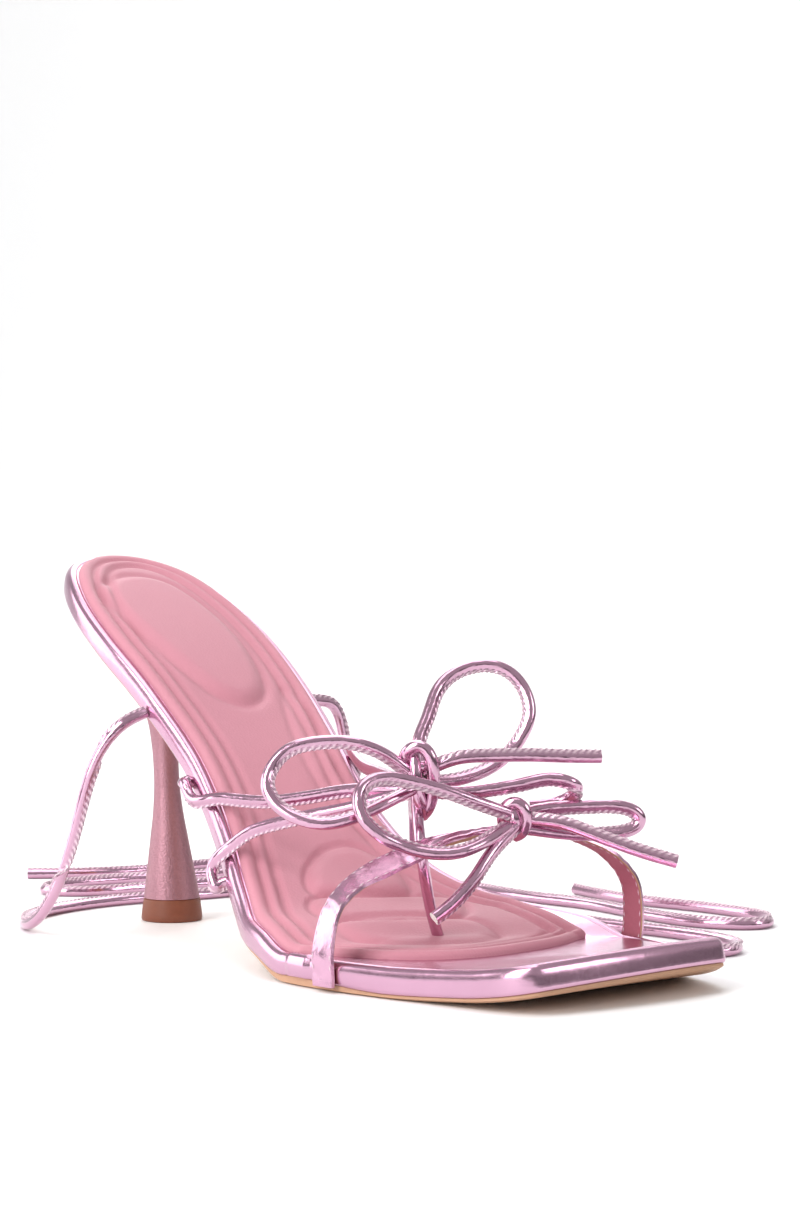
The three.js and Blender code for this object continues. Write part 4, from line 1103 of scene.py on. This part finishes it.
class SANDAL_OT_toe_strap(bpy.types.Operator):
    """Flat toe strap, gathered behind the front knot, with stitched edges."""

    bl_idname = "sandal.toe_strap"
    bl_label = "Toe strap"

    def execute(self, context):
        sizes = context.scene.sandal_sizes
        path, width, direction = strap_path()
        run = np.r_[0, np.cumsum(np.linalg.norm(np.diff(path, axis=0), axis=1))]
        n = 230
        at = np.linspace(0, run[-1], n)
        p = np.stack([np.interp(at, run, path[:, k]) for k in range(3)], 1)
        w = np.interp(at, run, width)
        t = np.gradient(p, axis=0)
        t /= np.linalg.norm(t, axis=1, keepdims=True)
        across = np.stack([np.interp(at, run, direction[:, k]) for k in range(3)], 1)
        across -= t * (across * t).sum(1)[:, None]
        across /= np.linalg.norm(across, axis=1, keepdims=True)
        normal = np.cross(across, t)
        normal *= np.sign(((p - p.mean(0)) * normal).sum())
        gather = smooth((0.93 - w) / 0.33)
        columns = 17
        q = np.linspace(-0.5, 0.5, columns)
        pleat = np.cos(q[None] * 2 * np.pi * 2) * 0.5 + 0.12 * np.sin(at[:, None] * 0.7 + q[None] * 9)
        crown = 0.28 * (1 - (2 * q[None]) ** 2) * (0.3 + gather[:, None] * 1.8)
        ripple = 0.07 * np.sin(at[:, None] * 1.1 + 3 * np.sin(at[:, None] * 0.31) + q[None] * 3)
        height = crown + gather[:, None] * pleat * 0.42 + ripple
        half = STRAP_THICK * 0.42
        wide = (w * STRAP_WIDTH)[:, None]
        flat = p[:, None] + across[:, None] * (q[None] * wide)[..., None]
        upper = flat + normal[:, None] * (half + height - 0.1)[..., None]
        lower = flat + normal[:, None] * (height * 0.6 - half * (1 + gather[:, None]))[..., None]
        mid_r = p + across * (0.5 * wide + STRAP_EDGE) + normal * (height[:, -1:] * 0.7 - 0.5 * half)
        mid_l = p - across * (0.5 * wide + STRAP_EDGE) + normal * (height[:, :1] * 0.7 - 0.5 * half)
        section = np.concatenate([upper, mid_r[:, None], lower[:, ::-1], mid_l[:, None]], 1)
        k = section.shape[1]
        vertices = section.reshape(-1, 3)
        faces = grid_faces(n, k)
        kind = [0] * (columns - 1) + [0, 1] + [2] * (columns - 1) + [1, 0]
        indices = kind * (n - 1)
        for j, order in ((0, 1), (n - 1, -1)):
            faces.append(tuple(range(j * k, (j + 1) * k))[::order])
            indices.append(1)
        piece = new_piece("toe_strap_foil", vertices, faces,
                          [finish_of(strap_foil), finish_of(outsole_resin), finish_of(strap_lining)], indices,
                          angle=50)
        merge_close(piece, 1e-6)
        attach(piece, "root")
        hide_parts("upper")
        stitches, corners = [], []
        pitch = sizes.stitch_pitch * 1000
        for s in np.arange(4.5, run[-1] - 4.5, pitch):
            j = int(np.clip(round(s / run[-1] * (n - 1)), 1, n - 2))
            if gather[j] > 0.85:
                continue
            for face, direction in ((upper, 1), (lower, -1)):
                for column in (1, columns - 2):
                    here = face[j, column] + normal[j] * 0.06 * direction
                    long = t[j] * pitch * STITCH_SHARE
                    side = across[j] * STITCH_HALF_WIDTH
                    up = normal[j] * STITCH_RISE * direction
                    base = len(corners) * 6
                    corners.append([here - long, here + side, here + long, here - side, here + up, here - up])
                    ring = [(0, 1), (1, 2), (2, 3), (3, 0)]
                    for a, b in ring:
                        order = (1 if direction > 0 else -1)
                        stitches.append((base + a, base + b, base + 4)[::order])
                        stitches.append((base + b, base + a, base + 5)[::order])
        thread = new_piece("toe_strap_stitches", np.array(corners).reshape(-1, 3), stitches,
                           [finish_of(stitch_thread)], angle=80)
        bpy.ops.object.mode_set(mode="EDIT")
        bpy.ops.mesh.select_all(action="SELECT")
        bpy.ops.mesh.normals_make_consistent(inside=False)
        bpy.ops.object.mode_set(mode="OBJECT")
        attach(thread, "root")
        return {"FINISHED"}


# Knot strands: right, up and towards the viewer from the knot's centre, in millimetres
REAR_KNOT_STRANDS = [
    [(-2.6, 1.6, -0.6), (-3.4, 4.2, 0.8), (-2.6, 6.6, 2.0), (-0.4, 7.9, 2.6), (1.8, 7.0, 3.0),
     (3.0, 4.6, 3.2), (3.4, 1.4, 3.0), (3.4, -1.8, 2.6), (2.8, -5.2, 1.4), (1.4, -8.0, 0.2),
     (0.4, -8.2, -1.2)],
    [(-1.2, 6.2, 0.2), (-0.9, 4.0, 2.0), (-0.6, 1.4, 2.8), (-0.2, -1.8, 2.8), (0.4, -4.8, 2.0),
     (1.2, -7.2, 0.8), (1.0, -8.4, -0.8)],
    [(-3.6, -0.6, -0.6), (-2.6, 0.6, 1.2), (-1.0, 2.4, 1.8), (1.2, 3.2, 1.6), (2.6, 2.6, 0)],
    [(-3.4, -2.6, -0.8), (-1.6, -2.2, 0.6), (1.0, -1.4, 0.8), (3.2, -0.4, 0.2)],
]
FRONT_KNOT_STRANDS = [
    [(-2.2, -2.6, -0.4), (-2.8, -0.2, 1.0), (-2.4, 2.2, 2.0), (-0.6, 3.6, 2.6), (1.4, 3.0, 3.0),
     (2.6, 1.0, 3.0), (2.6, -1.4, 2.6), (1.6, -3.6, 1.6), (0.2, -4.4, 0)],
    [(-0.6, 2.0, 1.4), (0.0, 0.4, 2.4), (0.2, -1.6, 2.4), (-0.4, -3.6, 1.2), (-0.8, -4.2, -0.4)],
    [(-3.2, -0.6, -0.6), (-1.4, -0.2, 0.8), (1.2, 0.4, 1.0), (3.2, 0.6, -0.2)],
]


class SANDAL_OT_knots(bpy.types.Operator):
    """Wrapped strands of both knots."""

    bl_idname = "sandal.knots"
    bl_label = "Knots"

    def execute(self, context):
        right = np.array([0.606, 0.7955, 0.0])
        toward = np.array([0.7955, -0.606, 0.0])
        up = np.array([0.0, 0.0, 1.0])
        for node, knot, strands in (("rear_bow", REAR_KNOT, REAR_KNOT_STRANDS),
                                    ("front_bow", FRONT_KNOT, FRONT_KNOT_STRANDS)):
            for i, rows in enumerate(strands):
                points = np.array([knot + right * r + up * u + toward * (d - 0.6) for r, u, d in rows])
                path = eased(even_path(points, 0.4), 16)
                piece = cord_piece(f"{node}_knot_{i + 1}", path, path.mean(0) - path, CORD * 1.1, 0.25,
                                   cut=False)
                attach(piece, "root")
        return {"FINISHED"}


class SANDAL_OT_instep(bpy.types.Operator):
    """Instep cords, thong and the place where they meet."""

    bl_idname = "sandal.instep"
    bl_label = "Instep cords and thong"

    def execute(self, context):
        for name, (side, seam, rows) in INSTEP_CORDS.items():
            places = [(along_x(a), c * BALL_WIDTH, h * KNOT_HEIGHT) for a, c, h in rows]
            tucked = beside(side, seam, 0.1, -CORD * 0.5)
            points = np.array([tucked, beside(side, seam, -CORD * 0.6, (CORD / 2 + GAP) * 0.9), *places, HUB])
            path = eased(even_path(points, 0.5), 16)
            piece = cord_piece("instep_cord_" + name, path, np.tile((0.25, -0.1, -1.0), (len(path), 1)))
            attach(piece, "root")
            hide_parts("upper")
        foot = (along_x(0.7175), -0.06 * BALL_WIDTH)
        thong = np.array([
            lifted(foot[0], foot[1], BOARD + 0.9),
            (along_x(0.7255), -0.105 * BALL_WIDTH, TOE_KNOT_HEIGHT * 0.45),
            (along_x(0.7365), -0.158 * BALL_WIDTH, TOE_KNOT_HEIGHT * 0.8),
            (along_x(0.714), -0.125 * BALL_WIDTH, TOE_KNOT_HEIGHT * 1.02),
            HUB,
        ])
        path = eased(even_path(thong, 0.5), 30)
        piece = cord_piece("thong_cord", path, np.tile((-1.0, 0.4, 0.0), (len(path), 1)))
        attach(piece, "root")
        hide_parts("upper")
        return {"FINISHED"}


class SANDAL_OT_stage(bpy.types.Operator):
    """Pale sweep, soft lights and surroundings."""

    bl_idname = "sandal.stage"
    bl_label = "Stage"

    def execute(self, context):
        rows = []
        for s in np.linspace(-1.6, 1.4, 2):
            rows.append((s, 0.0))
        bend = 0.9
        for a in np.linspace(0, math.pi / 2, 25)[1:]:
            rows.append((1.4 + bend * math.sin(a), bend * (1 - math.cos(a))))
        rows.append((1.4 + bend, 4.0))
        depth = np.array([-0.7955, 0.606, 0.0])
        right = np.array([0.606, 0.7955, 0.0])
        verts, faces = [], []
        for s, z in rows:
            for r in (-4, 4):
                verts.append(tuple(depth * s + right * r + np.array([0, 0, z])))
        for j in range(len(rows) - 1):
            faces.append((2 * j, 2 * j + 1, 2 * j + 3, 2 * j + 2))
        mesh = bpy.data.meshes.new("sweep")
        mesh.from_pydata(verts, [], faces)
        mesh.shade_smooth()
        sweep = bpy.data.objects.new("sweep", mesh)
        context.scene.collection.objects.link(sweep)
        paper = Finish("sweep_paper", Roughness=0.7)
        paper.set("Base Color", (0.95, 0.95, 0.952, 1))
        mesh.materials.append(paper.material)
        aim = Vector((0.08, 0.0, 0.04))
        for name, place, size, power in (
            ("key", (0.15, -1.1, 1.25), 0.7, 10),
            ("top", (-0.1, 0.1, 1.5), 1.0, 6.5),
            ("side", (1.2, 0.7, 0.7), 0.5, 3),
            ("back", (-1.2, 0.9, 1.0), 0.8, 5),
            ("front", (0.2, -0.95, 0.35), 0.6, 5),
            ("left", (-0.85, -0.7, 0.35), 0.8, 5),
            ("wash", (-1.2, 1.3, 1.8), 2.0, 16),
        ):
            data = bpy.data.lights.new(name, "AREA")
            data.shape = "SQUARE"
            data.size = size
            data.energy = power
            lamp = bpy.data.objects.new(name, data)
            lamp.location = place
            target = aim if name != "wash" else Vector((-1.9, 1.4, 0.6))
            lamp.rotation_euler = (target - Vector(place)).to_track_quat("-Z", "Y").to_euler()
            context.scene.collection.objects.link(lamp)
        world = bpy.data.worlds.new("studio")
        world.use_nodes = True
        tree = world.node_tree
        at = tree.nodes.new("ShaderNodeTexCoord")
        split = tree.nodes.new("ShaderNodeSeparateXYZ")
        ramp = tree.nodes.new("ShaderNodeValToRGB")
        tree.links.new(at.outputs["Generated"], split.inputs[0])
        tree.links.new(split.outputs["Z"], ramp.inputs["Fac"])
        elements = ramp.color_ramp.elements
        for at_, shade in ((0.0, 0.75), (0.05, 0.3), (0.16, 0.32), (0.3, 1.0)):
            e = elements[0] if at_ == 0.0 else elements.new(at_)
            e.position = at_
            e.color = (shade, shade, shade, 1)
        elements[len(elements) - 1].color = (1, 1, 1, 1)
        background = tree.nodes["Background"]
        tree.links.new(ramp.outputs["Color"], background.inputs["Color"])
        background.inputs["Strength"].default_value = 0.5
        context.scene.world = world
        context.scene.view_settings.view_transform = "Standard"
        return {"FINISHED"}


STEPS = (
    SANDAL_OT_camera, SANDAL_OT_ties, SANDAL_OT_bows, SANDAL_OT_outsole, SANDAL_OT_footbed, SANDAL_OT_sock,
    SANDAL_OT_heel, SANDAL_OT_toe_strap, SANDAL_OT_instep, SANDAL_OT_knots, SANDAL_OT_stage,
)


class SANDAL_PT_panel(bpy.types.Panel):
    """Lists the sandal's sizes, colours and steps."""

    bl_idname = "SANDAL_PT_panel"
    bl_label = "Sandal"
    bl_space_type = "VIEW_3D"
    bl_region_type = "UI"
    bl_category = "Sandal"

    def draw(self, context):
        for group in (context.scene.sandal_sizes, context.scene.sandal_colours):
            for key in group.__annotations__:
                self.layout.prop(group, key)
        for step in STEPS:
            self.layout.operator(step.bl_idname)


CLASSES = (SandalSizes, SandalColours, *STEPS, SANDAL_PT_panel)


def register():
    for item in CLASSES:
        bpy.utils.register_class(item)
    bpy.types.Scene.sandal_sizes = bpy.props.PointerProperty(type=SandalSizes)
    bpy.types.Scene.sandal_colours = bpy.props.PointerProperty(type=SandalColours)


def unregister():
    del bpy.types.Scene.sandal_colours
    del bpy.types.Scene.sandal_sizes
    for item in reversed(CLASSES):
        bpy.utils.unregister_class(item)


def main():
    register()
    for step in STEPS:
        group, name = step.bl_idname.split(".")
        getattr(getattr(bpy.ops, group), name)()


if __name__ == "__main__":
    main()
